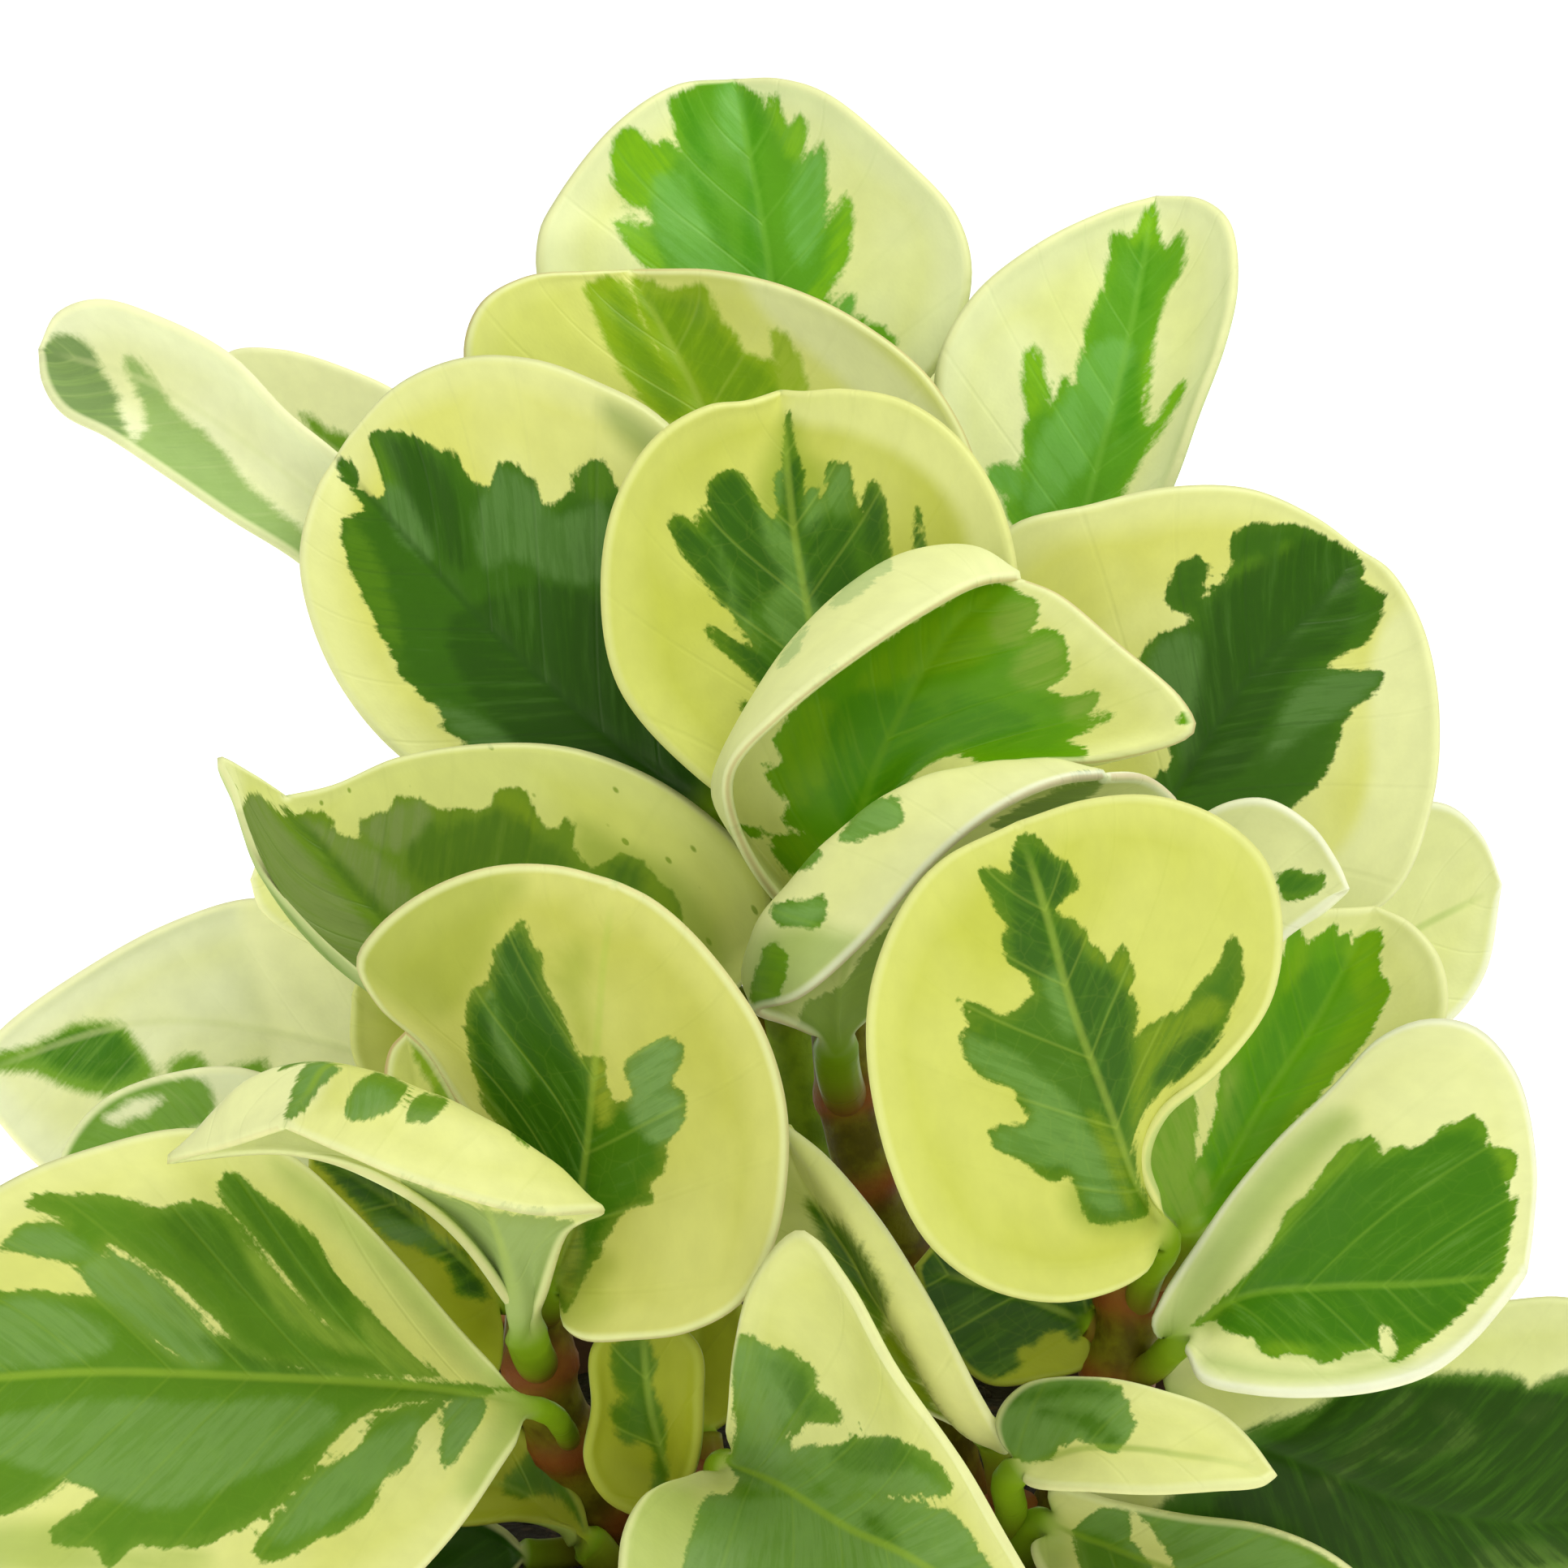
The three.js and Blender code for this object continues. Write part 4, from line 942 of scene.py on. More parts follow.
    def build(self) -> None:
        """Joins petiole and blade into one skin and dresses it."""
        s = self.columns()
        petiole, petiole_values = self.petiole_rings_of(s)
        blade, blade_values = self.blade_rings_of(s)
        end = np.repeat(self.lines.tip[None, None], blade.shape[1], axis=1)
        rings = np.concatenate([petiole, blade, end])
        values = {}
        for key, value in blade_values.items():
            values[key] = np.concatenate([petiole_values[key], value, value[-1:]])
        values["rim"] = np.full(rings.shape[:2], self.brown_rim)
        values["seed"] = np.full(rings.shape[:2], random.Random(self.name).uniform(0, 90))
        mesh = tube_mesh(self.name, rings, values)
        show(f"{self.name}_skin", mesh, self.tint.value.material(), self.name)


@dataclass
class Stem:
    """A jointed stem, upright where it stands in the soil, with a swollen ring at each joint."""

    name: str
    radius: float
    drawn: list[Point] = field(default_factory=list)
    world: list[Point] = field(default_factory=list)
    soil_line: float = 103.5
    foot: float = 76.0
    swell: float = 0.22
    steps_round: int = 20
    rings_each: int = 12
    flush: float = 3.2
    swell_run: float = 2.4
    crease: float = 0.05
    crease_run: float = 0.35

    def axis(self) -> Array:
        """Finds the stem's joints.

        Returns:
            Places in the frame, from the soil line up.
        """
        points = np.array(self.world, float) if self.world else VIEW.place(self.drawn)
        points[0, 2] = self.soil_line
        return points

    def build(self, finish: "StemFinish") -> None:
        """Sweeps the stem's skin up its axis and dresses it.

        Args:
            finish: the stem's finish.
        """
        axis = self.axis()
        curve = SmoothLine(axis)
        joints = len(axis) - 1
        share = np.linspace(0, 1, joints * self.rings_each + 1)
        centre = curve.point(share)
        along = unit(np.gradient(centre, axis=0))
        foot = centre[0] * [1, 1, 0] + [0, 0, self.foot]
        centre = np.concatenate([[foot], centre])
        along = np.concatenate([[[0, 0, 1.0]], along])
        place = np.concatenate([[0.5], share * joints])
        gap = np.abs(place - np.round(place)) * curve.length / joints
        gap[:2] = OUTSIDE
        joint = np.exp(-(gap / self.flush) ** 2)
        radius = self.radius * (1 + self.swell * np.exp(-(gap / self.swell_run) ** 2)
                                - self.crease * np.exp(-(gap / self.crease_run) ** 2))
        radius[-1] = 0
        side = unit(np.cross([1.0, 0, 0], along))[:, None]
        front = unit(np.cross(along, side[:, 0]))[:, None]
        turn = (2 * math.pi * np.arange(self.steps_round) / self.steps_round)[None, :, None]
        rings = centre[:, None] + (side * np.cos(turn) + front * np.sin(turn)) * radius[:, None, None]
        rings = np.concatenate([np.repeat(foot[None, None], self.steps_round, axis=1), rings])
        joint = np.repeat(np.concatenate([[0], joint])[:, None], self.steps_round, axis=1)
        mesh = tube_mesh(self.name, rings, {"joint": joint, "height": rings[..., 2]})
        show(f"{self.name}_skin", mesh, finish.material(), self.name)


def spun(profile: Sequence[tuple[float, float]], steps: int) -> bmesh.types.BMesh:
    """Spins a profile of radius and height round the upright axis.

    Args:
        profile: points from the axis at the bottom round to the axis again.
        steps: the number of steps in the full turn.

    Returns:
        The closed bmesh in metres.
    """
    bm = bmesh.new()
    verts = [bm.verts.new((radius * MM, 0, height * MM)) for radius, height in profile]
    edges = [bm.edges.new(pair) for pair in zip(verts, verts[1:])]
    bmesh.ops.spin(bm, geom=verts + edges, cent=(0, 0, 0), axis=(0, 0, 1), dvec=(0, 0, 0),
                   angle=2 * math.pi, steps=steps, use_merge=True, use_duplicate=False)
    bmesh.ops.remove_doubles(bm, verts=bm.verts, dist=1e-6)
    return bm


@dataclass
class Pot:
    """A tapered clay pot with a straight rim band and four drain holes."""

    height: float = 110.0
    foot_radius: float = 47.0
    rim_radius: float = 65.0
    rim_height: float = 24.0
    wall: float = 6.0
    floor: float = 9.0
    steps: int = 96
    drain_radius: float = 4.0
    drain_circle: float = 27.0
    drain_count: int = 4
    drain_band: tuple[float, float] = (20.5, 33.5)
    hole_quads: int = 5
    step_in: float = 4.0
    edge_round: float = 1.6
    near: float = 1e-5

    def profile(self) -> list[tuple[float, float]]:
        """Draws the wall's section.

        Returns:
            Radius and height, from the axis below to the axis above the floor.
        """
        band = self.height - self.rim_height
        inner = self.rim_radius - self.wall
        low, high = self.drain_band
        return [(0, 0), (low, 0), (high, 0), (self.foot_radius, 0),
                (self.rim_radius - self.step_in, band), (self.rim_radius, band),
                (self.rim_radius, self.height), (inner, self.height),
                (self.foot_radius - self.wall + 1, self.floor), (high, self.floor), (low, self.floor),
                (0, self.floor)]

    def soften(self, bm: bmesh.types.BMesh) -> None:
        """Rounds the rings where the wall turns a corner.

        Args:
            bm: the pot.
        """
        band = self.height - self.rim_height
        corners = [(self.foot_radius, 0), (self.rim_radius, band), (self.rim_radius, self.height),
                   (self.rim_radius - self.wall, self.height)]
        for radius, height in corners:
            on_ring = {v for v in bm.verts if abs(v.co.z - height * MM) < self.near
                       and abs(v.co.xy.length - radius * MM) < self.near}
            ring = [edge for edge in bm.edges if on_ring.issuperset(edge.verts)]
            bmesh.ops.bevel(bm, geom=ring, offset=self.edge_round * MM, offset_type="OFFSET", segments=4,
                            profile=0.5, affect="EDGES", material=-1)

    def drill(self, bm: bmesh.types.BMesh) -> None:
        """Opens the drain holes between the underside and the floor.

        Args:
            bm: the pot.
        """
        for n in range(self.drain_count):
            turn = 2 * math.pi * (n + 0.5) / self.drain_count
            centre = Vector((math.cos(turn), math.sin(turn), 0)) * self.drain_circle * MM
            rims = [self.hole_rim(bm, centre, turn, height) for height in (0.0, self.floor)]
            bmesh.ops.bridge_loops(bm, edges=rims[0] + rims[1])

    def hole_rim(self, bm: bmesh.types.BMesh, centre: Vector, turn: float, height: float) -> list:
        """Cuts one end of a drain hole.

        Args:
            bm: the pot.
            centre: the hole's middle.
            turn: the hole's direction from the axis.
            height: the height of the face that it is cut in.

        Returns:
            The edges round the hole.
        """
        low, high = (value * MM for value in self.drain_band)
        half = math.pi / self.steps * self.hole_quads

        def covered(face: bmesh.types.BMFace) -> bool:
            """Tells whether a face lies under the hole.

            Args:
                face: the face.

            Returns:
                True where it does.
            """
            middle = face.calc_center_median()
            swing = (math.atan2(middle.y, middle.x) - turn + math.pi) % (2 * math.pi) - math.pi
            level = abs(middle.z - height * MM) < self.near
            return level and low < middle.xy.length < high and abs(swing) < half

        merged = bmesh.ops.dissolve_faces(bm, faces=[f for f in bm.faces if covered(f)])["region"]
        bmesh.ops.inset_individual(bm, faces=merged, thickness=0.3 * MM)
        lid = merged[0]
        ordered = sorted(lid.verts, key=lambda v: math.atan2(v.co.y - centre.y, v.co.x - centre.x))
        first = math.atan2(ordered[0].co.y - centre.y, ordered[0].co.x - centre.x)
        for k, vert in enumerate(ordered):
            angle = first + 2 * math.pi * k / len(ordered)
            vert.co.x = centre.x + math.cos(angle) * self.drain_radius * MM
            vert.co.y = centre.y + math.sin(angle) * self.drain_radius * MM
        rim = list(lid.edges)
        bmesh.ops.delete(bm, geom=[lid], context="FACES_ONLY")
        return rim

    def build(self, finish: "ClayFinish") -> None:
        """Spins, drills and rounds the pot, and dresses it.

        Args:
            finish: the pot's finish.
        """
        bm = spun(self.profile(), self.steps)
        bmesh.ops.recalc_face_normals(bm, faces=bm.faces)
        self.drill(bm)
        self.soften(bm)
        show("clay_pot", finished_mesh(bm, "clay_pot"), finish.material(), "pot")


@dataclass
class Soil:
    """Potting soil: a low uneven mound with loose crumbs on it."""

    radius: float = 57.6
    foot_radius: float = 41.7
    top: float = 100.0
    mound: float = 2.5
    bottom: float = 9.3
    steps: int = 120
    crumbs: int = 520
    roughness: float = 0.9
    rings: int = 24
    grain: float = 160.0
    edge_gap: float = 3.0
    crumb_size: tuple[float, float] = (0.7, 1.9)
    crumb_rise: float = 0.3
    seed: int = 7

    def profile(self) -> list[tuple[float, float]]:
        """Draws the soil's section, with close rings over its top.

        Returns:
            Radius and height, from the axis below to the axis above.
        """
        over = []
        for k in range(self.rings + 1):
            radius = self.radius * math.cos(math.pi / 2 * k / self.rings)
            over.append((radius, self.top + self.mound * math.sin(math.pi / 2 * (k / self.rings))))
        return [(0, self.bottom), (self.foot_radius, self.bottom), *over[:-1], (0, self.top + self.mound)]

    def build(self, finish: "SoilFinish") -> None:
        """Spins the mound, roughens its top, scatters crumbs on it and dresses it.

        Args:
            finish: the soil's finish.
        """
        bm = spun(self.profile(), self.steps)
        for vert in bm.verts:
            if vert.co.z > (self.top + 0.05) * MM and vert.co.xy.length < (self.radius - 1) * MM:
                vert.co.z += noise.fractal(vert.co * self.grain, 0.6, 2.1, 4) * self.roughness * MM
        draw = random.Random(self.seed)
        for _ in range(self.crumbs):
            away = (self.radius - self.edge_gap) * math.sqrt(draw.random())
            turn = draw.uniform(0, 2 * math.pi)
            size = draw.uniform(*self.crumb_size)
            height = self.top + self.mound * (1 - (away / self.radius) ** 2) + size * self.crumb_rise
            place = Matrix.Translation(Vector((away * math.cos(turn), away * math.sin(turn), height)) * MM)
            spin = Matrix.Rotation(draw.uniform(0, 6), 4, Vector((draw.random(), draw.random(), 1)))
            squash = Matrix.Diagonal((1, draw.uniform(0.6, 1), draw.uniform(0.5, 0.9), 1))
            bmesh.ops.create_icosphere(bm, subdivisions=1, radius=size * MM, matrix=place @ spin @ squash)
        show("potting_soil", finished_mesh(bm, "potting_soil"), finish.material(), "soil")


Socket = bpy.types.NodeSocket
Feed = Union[Socket, float, tuple]


class Nodes:
    """Lays out one material's nodes with short calls."""

    def __init__(self, name: str) -> None:
        """Starts a material with only its surface shader.

        Args:
            name: the material's name.
        """
        self.material = bpy.data.materials.new(name)
        self.material.use_nodes = True
        self.tree = self.material.node_tree
        self.tree.nodes.clear()
        output = self.tree.nodes.new("ShaderNodeOutputMaterial")
        self.surface = self.tree.nodes.new("ShaderNodeBsdfPrincipled")
        self.tree.links.new(self.surface.outputs["BSDF"], output.inputs["Surface"])

    def feed(self, socket: Socket, value: Feed) -> None:
        """Links a socket to another, or sets its value.

        Args:
            socket: the socket to feed.
            value: another node's socket or a plain value.
        """
        if isinstance(value, bpy.types.NodeSocket):
            self.tree.links.new(value, socket)
        else:
            socket.default_value = value

    def node(self, kind: str, output: "int | str", feeds: "dict[int | str, Feed]", **options: str) -> Socket:
        """Adds a node.

        Args:
            kind: its type, without the ShaderNode before it.
            output: the name or place of the output that is wanted.
            feeds: what its inputs are fed, by their names or places.
            options: its settings.

        Returns:
            The wanted output.
        """
        node = self.tree.nodes.new(f"ShaderNode{kind}")
        for name, option in options.items():
            setattr(node, name, option)
        for key, value in feeds.items():
            self.feed(node.inputs[key], value)
        return node.outputs[output]

    def attribute(self, name: str) -> Socket:
        """The numbers kept on the mesh under a name."""
        return self.node("Attribute", "Fac", {}, attribute_name=name)

    def places(self) -> Socket:
        """Places on the object, in metres."""
        return self.node("TexCoord", "Object", {})

    def off_axis(self, place: Socket) -> Socket:
        """How far places lie from the object's upright axis."""
        level = self.node("VectorMath", 0, {0: place, 1: (1, 1, 0)}, operation="MULTIPLY")
        return self.node("VectorMath", "Value", {0: level}, operation="LENGTH")

    def rise(self, place: Socket) -> Socket:
        """How high places lie."""
        return self.node("SeparateXYZ", "Z", {0: place})

    def maths(self, operation: str, *values: Feed) -> Socket:
        """One sum of one, two or three values."""
        return self.node("Math", 0, dict(enumerate(values)), operation=operation)

    def ramp(self, value: Socket, low: float, high: float, bottom: float = 0, top: float = 1) -> Socket:
        """Rises smoothly from bottom at low to top at high."""
        feeds = {"From Min": low, "From Max": high, "To Min": bottom, "To Max": top, "Value": value}
        return self.node("MapRange", "Result", feeds, interpolation_type="SMOOTHSTEP")

    def vector(self, *axes: Feed) -> Socket:
        """Three values as one vector."""
        return self.node("CombineXYZ", 0, dict(enumerate(axes)))

    def cloud(self, vector: Socket, scale: float, detail: float = 3, roughness: float = 0.55) -> Socket:
        """Soft noise from 0 to 1."""
        feeds = {"Vector": vector, "Scale": scale, "Detail": detail, "Roughness": roughness}
        return self.node("TexNoise", 0, feeds)

    def cells(self, vector: Socket, scale: float) -> Socket:
        """Distance to the nearest of many scattered points."""
        return self.node("TexVoronoi", "Distance", {"Vector": vector, "Scale": scale})

    def net(self, vector: Socket, scale: float) -> Socket:
        """Distance to the nearest line of an uneven net."""
        feeds = {"Vector": vector, "Scale": scale}
        return self.node("TexVoronoi", "Distance", feeds, feature="DISTANCE_TO_EDGE")

    def mix(self, share: Feed, first: Feed, second: Feed) -> Socket:
        """A colour between two colours."""
        return self.node("Mix", 2, {0: share, 6: first, 7: second}, data_type="RGBA")

    def shade(self, colour: Socket, gain: Socket) -> Socket:
        """A colour made lighter or darker by a factor."""
        return self.node("VectorMath", 0, {0: colour, "Scale": gain}, operation="SCALE")

    def relief(self, height: Socket, strength: float, distance: float) -> None:
        """Gives the surface fine relief, whose depth is in metres."""
        feeds = {"Strength": strength, "Distance": distance, "Height": height}
        self.feed(self.surface.inputs["Normal"], self.node("Bump", "Normal", feeds))

    def set(self, **values: Feed) -> None:
        """Feeds the surface's sockets, whose names are given with underscores for spaces."""
        for name, value in values.items():
            self.feed(self.surface.inputs[name.replace("_", " ")], value)


class Finish:
    """A finish whose material is made once."""

    name: str

    def lay(self, n: Nodes) -> None:
        """Lays out the material's nodes; each finish has its own way."""
        raise NotImplementedError

    def material(self) -> bpy.types.Material:
        """Finds the finish's material, or makes it.

        Returns:
            The material.
        """
        made = bpy.data.materials.get(self.name)
        if made is None:
            n = Nodes(self.name)
            self.lay(n)
            made = n.material
        return made


@dataclass(frozen=True)
class LeafFinish(Finish):
    """Waxy leaf skin: yellow ground, green patches with streaked edges, fine veins and a pale rim."""

    name: str
    ground: Colour = paint("bec44a")
    ground_light: Colour = paint("d5d974")
    green: Colour = paint("427006")
    dark: Colour = paint("2c5a05")
    grey: Colour = paint("6a943e")
    lime: Colour = paint("76920c")
    rib: Colour = paint("aac246")
    rib_strength: float = 0.35
    rim: Colour = paint("e4e8a5")
    brown: Colour = paint("be9c60")
    stalk: Colour = paint("769814")
    joint: Colour = paint("7a4822")
    under: Colour = paint("96b462")
    under_mix: float = 0.5
    edge: float = 0.28
    specks: float = 0.0
    vein_gap: float = 9.5
    vein_strength: float = 0.2
    roughness: float = 0.36
    streak_scale: tuple[float, float] = (0.62, 0.11)
    jag_streak: float = 1.9
    jag_fleck: float = 0.9
    net_share: float = 0.22
    under_rough: float = 0.18
    ridge_height: float = -1.8
    pore_height: float = 0.12

    def bed(self, n: Nodes, place: Socket, margin: Socket) -> Socket:
        """Mixes the colours of the ground between the patches.

        Args:
            n: the material's nodes.
            place: places on the blade laid flat.
            margin: millimetres from the margin.

        Returns:
            The ground's colour.
        """
        cloud = n.cloud(place, 0.045, 2, 0.5)
        light = n.maths("MAXIMUM", n.ramp(cloud, 0.35, 0.7, 0, 0.6), n.ramp(margin, 9.0, 1.5, 0, 0.7))
        ground = n.mix(light, self.ground, self.ground_light)
        # Pale patches lift the ground towards the rim colour: on some leaves a paler part of the blade, on
        # others painted light where the blade lies in shade.
        ground = n.mix(n.ramp(n.attribute("pale"), -1.6, 1.2, 0, 0.9), ground, self.rim)
        # Faint patches pull the ground towards lime: on some leaves a soft green of the blade, on others
        # painted shade.
        ground = n.mix(n.ramp(n.attribute("faint"), -1.8, 2.2, 0, 0.55), ground, self.lime)
        if self.specks:
            dot = n.ramp(n.cells(place, 0.42), 0.17, 0.1, 0, self.specks)
            ground = n.mix(dot, ground, self.lime)
        return ground

    def flesh(self, n: Nodes, jag: Socket, streak: Socket) -> Socket:
        """Mixes the greens of the patches.

        Args:
            n: the material's nodes.
            jag: how far the patches' edges are thrown out here, in millimetres.
            streak: the noise drawn out along the side veins.

        Returns:
            The colour inside the patches.
        """
        depth = n.maths("ADD", n.attribute("green"), jag)
        flesh = n.mix(n.ramp(depth, 2.0, 0.0, 0, 0.3), self.green, self.lime)
        for tone, gain in (("lime", 0.85), ("grey", 0.85), ("dark", 0.9)):
            share = n.ramp(n.maths("ADD", n.attribute(tone), jag), -1.0, 1.0, 0, gain)
            share = n.maths("MULTIPLY", share, n.ramp(streak, 0.36, 0.56, 0.55, 1))
            flesh = n.mix(share, flesh, getattr(self, tone))
        flesh = n.mix(n.ramp(streak, 0.55, 0.75, 0, 0.3), flesh, self.dark)
        return n.mix(n.ramp(streak, 0.45, 0.25, 0, 0.2), flesh, self.grey)

    def lines(self, n: Nodes, colour: Socket, vein: Socket, off_rib: Socket, margin: Socket) -> Socket:
        """Draws the midrib, the side veins and the rim over the blade's colour.

        Args:
            n: the material's nodes.
            colour: the blade's colour.
            vein: how strongly a side vein shows here.
            off_rib: millimetres from the rib.
            margin: millimetres from the margin.

        Returns:
            The colour with the lines.
        """
        colour = n.mix(vein, colour, self.rib)
        rib = n.maths("MULTIPLY", n.ramp(off_rib, 0.8, 0.1), n.ramp(margin, 1.0, 9.0))
        colour = n.mix(n.maths("MULTIPLY", rib, self.rib_strength), colour, self.rib)
        colour = n.mix(n.ramp(margin, 1.3, 0.4, 0, 0.75), colour, self.rim)
        brown = n.maths("MULTIPLY", n.ramp(margin, 0.4, 0.05), n.attribute("rim"))
        return n.mix(brown, colour, self.brown)

    def lay(self, n: Nodes) -> None:
        """Lays out the finish.

        Args:
            n: the material's nodes.
        """
        side, along, margin, seed = (n.attribute(name) for name in ("side", "along", "margin", "seed"))
        off_rib = n.maths("ABSOLUTE", side)
        bend = n.maths("MULTIPLY", off_rib, n.maths("MULTIPLY", off_rib, VEIN_BEND))
        arch = n.maths("SUBTRACT", n.maths("MULTIPLY", off_rib, VEIN_SLOPE), bend)
        vein_run = n.maths("SUBTRACT", along, arch)
        run, across = (n.maths("MULTIPLY", *pair) for pair in zip((vein_run, side), self.streak_scale))
        streak = n.cloud(n.vector(run, across, seed), 1, 4, 0.6)
        flat_place = n.vector(side, along, seed)
        fleck = n.cloud(flat_place, 1.9, 3, 0.6)
        jag = n.maths("ADD", n.maths("MULTIPLY", n.maths("SUBTRACT", streak, 0.5), self.jag_streak),
                      n.maths("MULTIPLY", n.maths("SUBTRACT", fleck, 0.5), self.jag_fleck))
        inside = n.ramp(n.maths("ADD", n.attribute("green"), jag), -self.edge, self.edge)
        colour = n.mix(inside, self.bed(n, flat_place, margin), self.flesh(n, jag, streak))
        ridge = n.ramp(n.maths("PINGPONG", n.maths("DIVIDE", vein_run, self.vein_gap), 0.5), 0.05, 0.0)
        net = n.ramp(n.net(flat_place, 0.3), 0.05, 0.0)
        vein = n.maths("MAXIMUM", ridge, n.maths("MULTIPLY", net, self.net_share))
        vein = n.maths("MULTIPLY", vein, n.ramp(inside, 0.0, 1.0, 0.02, self.vein_strength))
        colour = self.lines(n, colour, vein, off_rib, margin)
        colour = n.mix(n.maths("MULTIPLY", n.attribute("under"), self.under_mix), colour, self.under)
        colour = n.mix(n.attribute("stalk"), colour, n.mix(n.attribute("joint"), self.stalk, self.joint))
        colour = n.shade(colour, n.ramp(n.cloud(flat_place, 0.35, 3), 0.25, 0.75, 0.97, 1.03))
        rough = n.ramp(fleck, 0.2, 0.8, self.roughness - 0.04, self.roughness + 0.06)
        rough = n.maths("ADD", rough, n.maths("MULTIPLY", n.attribute("under"), self.under_rough))
        n.set(Base_Color=colour, Roughness=rough, Specular_Tint=(1, 1, 0.72, 1),
              Specular_IOR_Level=n.ramp(n.attribute("stalk"), 0.0, 1.0, 0.2, 0.05))
        pores = n.maths("MULTIPLY", n.cloud(flat_place, 2.4, 0), self.pore_height)
        ridges = n.maths("MULTIPLY", ridge, self.ridge_height * self.vein_strength)
        n.relief(n.maths("ADD", ridges, pores), 0.3, 0.35 * MM)


class Tint(Enum):
    """The leaf colours that this plant bears, with lighter and darker copies that paint in light and shade.
    """

    LIME = LeafFinish("leaf_lime", rim=paint("e0e48e"))
    # Painted light: ground, rim and underside raised near white so the folded strap leaf stays bright where
    # the leaves in front shade it.
    RIBBON = LeafFinish("leaf_ribbon", ground=paint("f6f892"), ground_light=paint("fcfea8"),
        green=paint("547c06"), dark=paint("386003"), grey=paint("6e9232"), lime=paint("809406"),
        rib=paint("becc50"), rim=paint("fcfebe"), under=paint("f6fa96"), edge=0.8)
    SPECKLED = LeafFinish("leaf_speckled", ground=paint("cad062"), ground_light=paint("d6dc84"),
        green=paint("628414"), dark=paint("4a7008"), grey=paint("7a8e48"), specks=0.8, rib=paint("42680a"),
        rib_strength=0.3)
    DUSKY = LeafFinish("leaf_dusky", ground=paint("bec054"), ground_light=paint("d6d77a"),
        grey=paint("7a9e54"), lime=paint("96a42c"))
    SUNLIT = LeafFinish("leaf_sunlit", ground=paint("d0d662"), ground_light=paint("dee282"),
        green=paint("86aa0c"), dark=paint("6c9606"), grey=paint("a2ba32"), lime=paint("98b614"),
        rib=paint("b0c650"), edge=0.6, under=paint("ced664"), under_mix=0.4)
    PALE = LeafFinish("leaf_pale", ground=paint("dee290"), ground_light=paint("e8ecaa"),
        green=paint("4e820c"), dark=paint("3a7206"), grey=paint("7ca650"), lime=paint("709a14"),
        rib=paint("8cb634"), rim=paint("eef1d0"), under=paint("d6de8c"), under_mix=0.3)
    # Partly the back leaves' own pale cream, partly painted light: ground and rim raised near white for
    # leaves that face away from the lamps.
    WASHED = LeafFinish("leaf_washed", ground=paint("e6eaa6"), ground_light=paint("f2f6ce"),
        green=paint("689826"), dark=paint("347002"), grey=paint("7ca646"), lime=paint("96ba32"),
        rib=paint("d6de96"), under=paint("e8ecb4"), under_mix=0.2, edge=0.8, vein_strength=0.08,
        rim=paint("f8fabe"))
    BLUISH = LeafFinish("leaf_bluish", ground=paint("e0e692"), ground_light=paint("ecf2bc"),
        green=paint("5a9c16"), dark=paint("489006"), grey=paint("72b24a"), lime=paint("80ba0e"), edge=0.5,
        rib=paint("80ba3c"))
    BRIGHT = LeafFinish("leaf_bright", ground=paint("dade7e"), ground_light=paint("e8eca0"),
        green=paint("5c9804"), dark=paint("4a8a03"), grey=paint("86a838"), lime=paint("76a604"),
        rib=paint("78aa1a"), under=paint("ecf1b4"))
    OLIVE = LeafFinish("leaf_olive", ground=paint("ced270"), ground_light=paint("e0e394"),
        green=paint("548012"), dark=paint("44700a"), grey=paint("709646"), lime=paint("84a234"),
        rib=paint("84a42c"), rib_strength=0.75, under=paint("dce296"), under_mix=0.32)
    # Painted shade: a darker copy of the yellow leaf colours for leaves that sit deep inside the plant.
    SHADED = LeafFinish("leaf_shaded", ground=paint("88920e"), ground_light=paint("aab22e"),
        green=paint("487008"), dark=paint("284e0e"), grey=paint("608442"), rim=paint("a8b23e"), edge=0.6)
    SHADED_EDGE = LeafFinish("leaf_shaded_edge", ground=paint("ced47a"), ground_light=paint("e2e6a6"),
        green=paint("366404"), dark=paint("1e4002"), grey=paint("547628"), lime=paint("74943e"),
        rib=paint("30580a"), edge=0.7, vein_strength=0.08)
    DEEP = LeafFinish("leaf_deep", ground=paint("d2d464"), ground_light=paint("e4e8a0"),
        green=paint("346206"), dark=paint("265003"), grey=paint("58803a"), lime=paint("507c0c"),
        rib=paint("28500e"), rib_strength=0.5)


@dataclass(frozen=True)
class StemFinish(Finish):
    """Green brown stem skin with darker reddish rings at its joints."""

    name: str = "stem_skin"
    skin: Colour = paint("747012")
    shade: Colour = paint("544c06")
    ring: Colour = paint("8c481e")
    roughness: float = 0.55

    def lay(self, n: Nodes) -> None:
        """Lays out the finish.

        Args:
            n: the material's nodes.
        """
        place = n.places()
        colour = n.mix(n.ramp(n.cloud(place, 260, 4), 0.35, 0.65), self.skin, self.shade)
        colour = n.mix(n.maths("MULTIPLY", n.attribute("joint"), 0.8), colour, self.ring)
        colour = n.mix(n.ramp(n.attribute("height"), 112, 101, 0, 0.5), colour, self.shade)
        fine = n.cloud(place, 900, 4)
        rough = n.ramp(fine, 0.2, 0.8, self.roughness - 0.08, self.roughness + 0.1)
        n.set(Base_Color=colour, Roughness=rough, Subsurface_Weight=0.06, Subsurface_Scale=1 * MM,
              Specular_IOR_Level=0.15, Specular_Tint=(1, 0.92, 0.7, 1))
        n.relief(n.maths("ADD", fine, n.maths("MULTIPLY", n.attribute("joint"), 0.4)), 0.35, 0.5 * MM)


YOUNG_STEM = StemFinish("young_stem_skin", skin=paint("7c9618"), shade=paint("627c0e"))


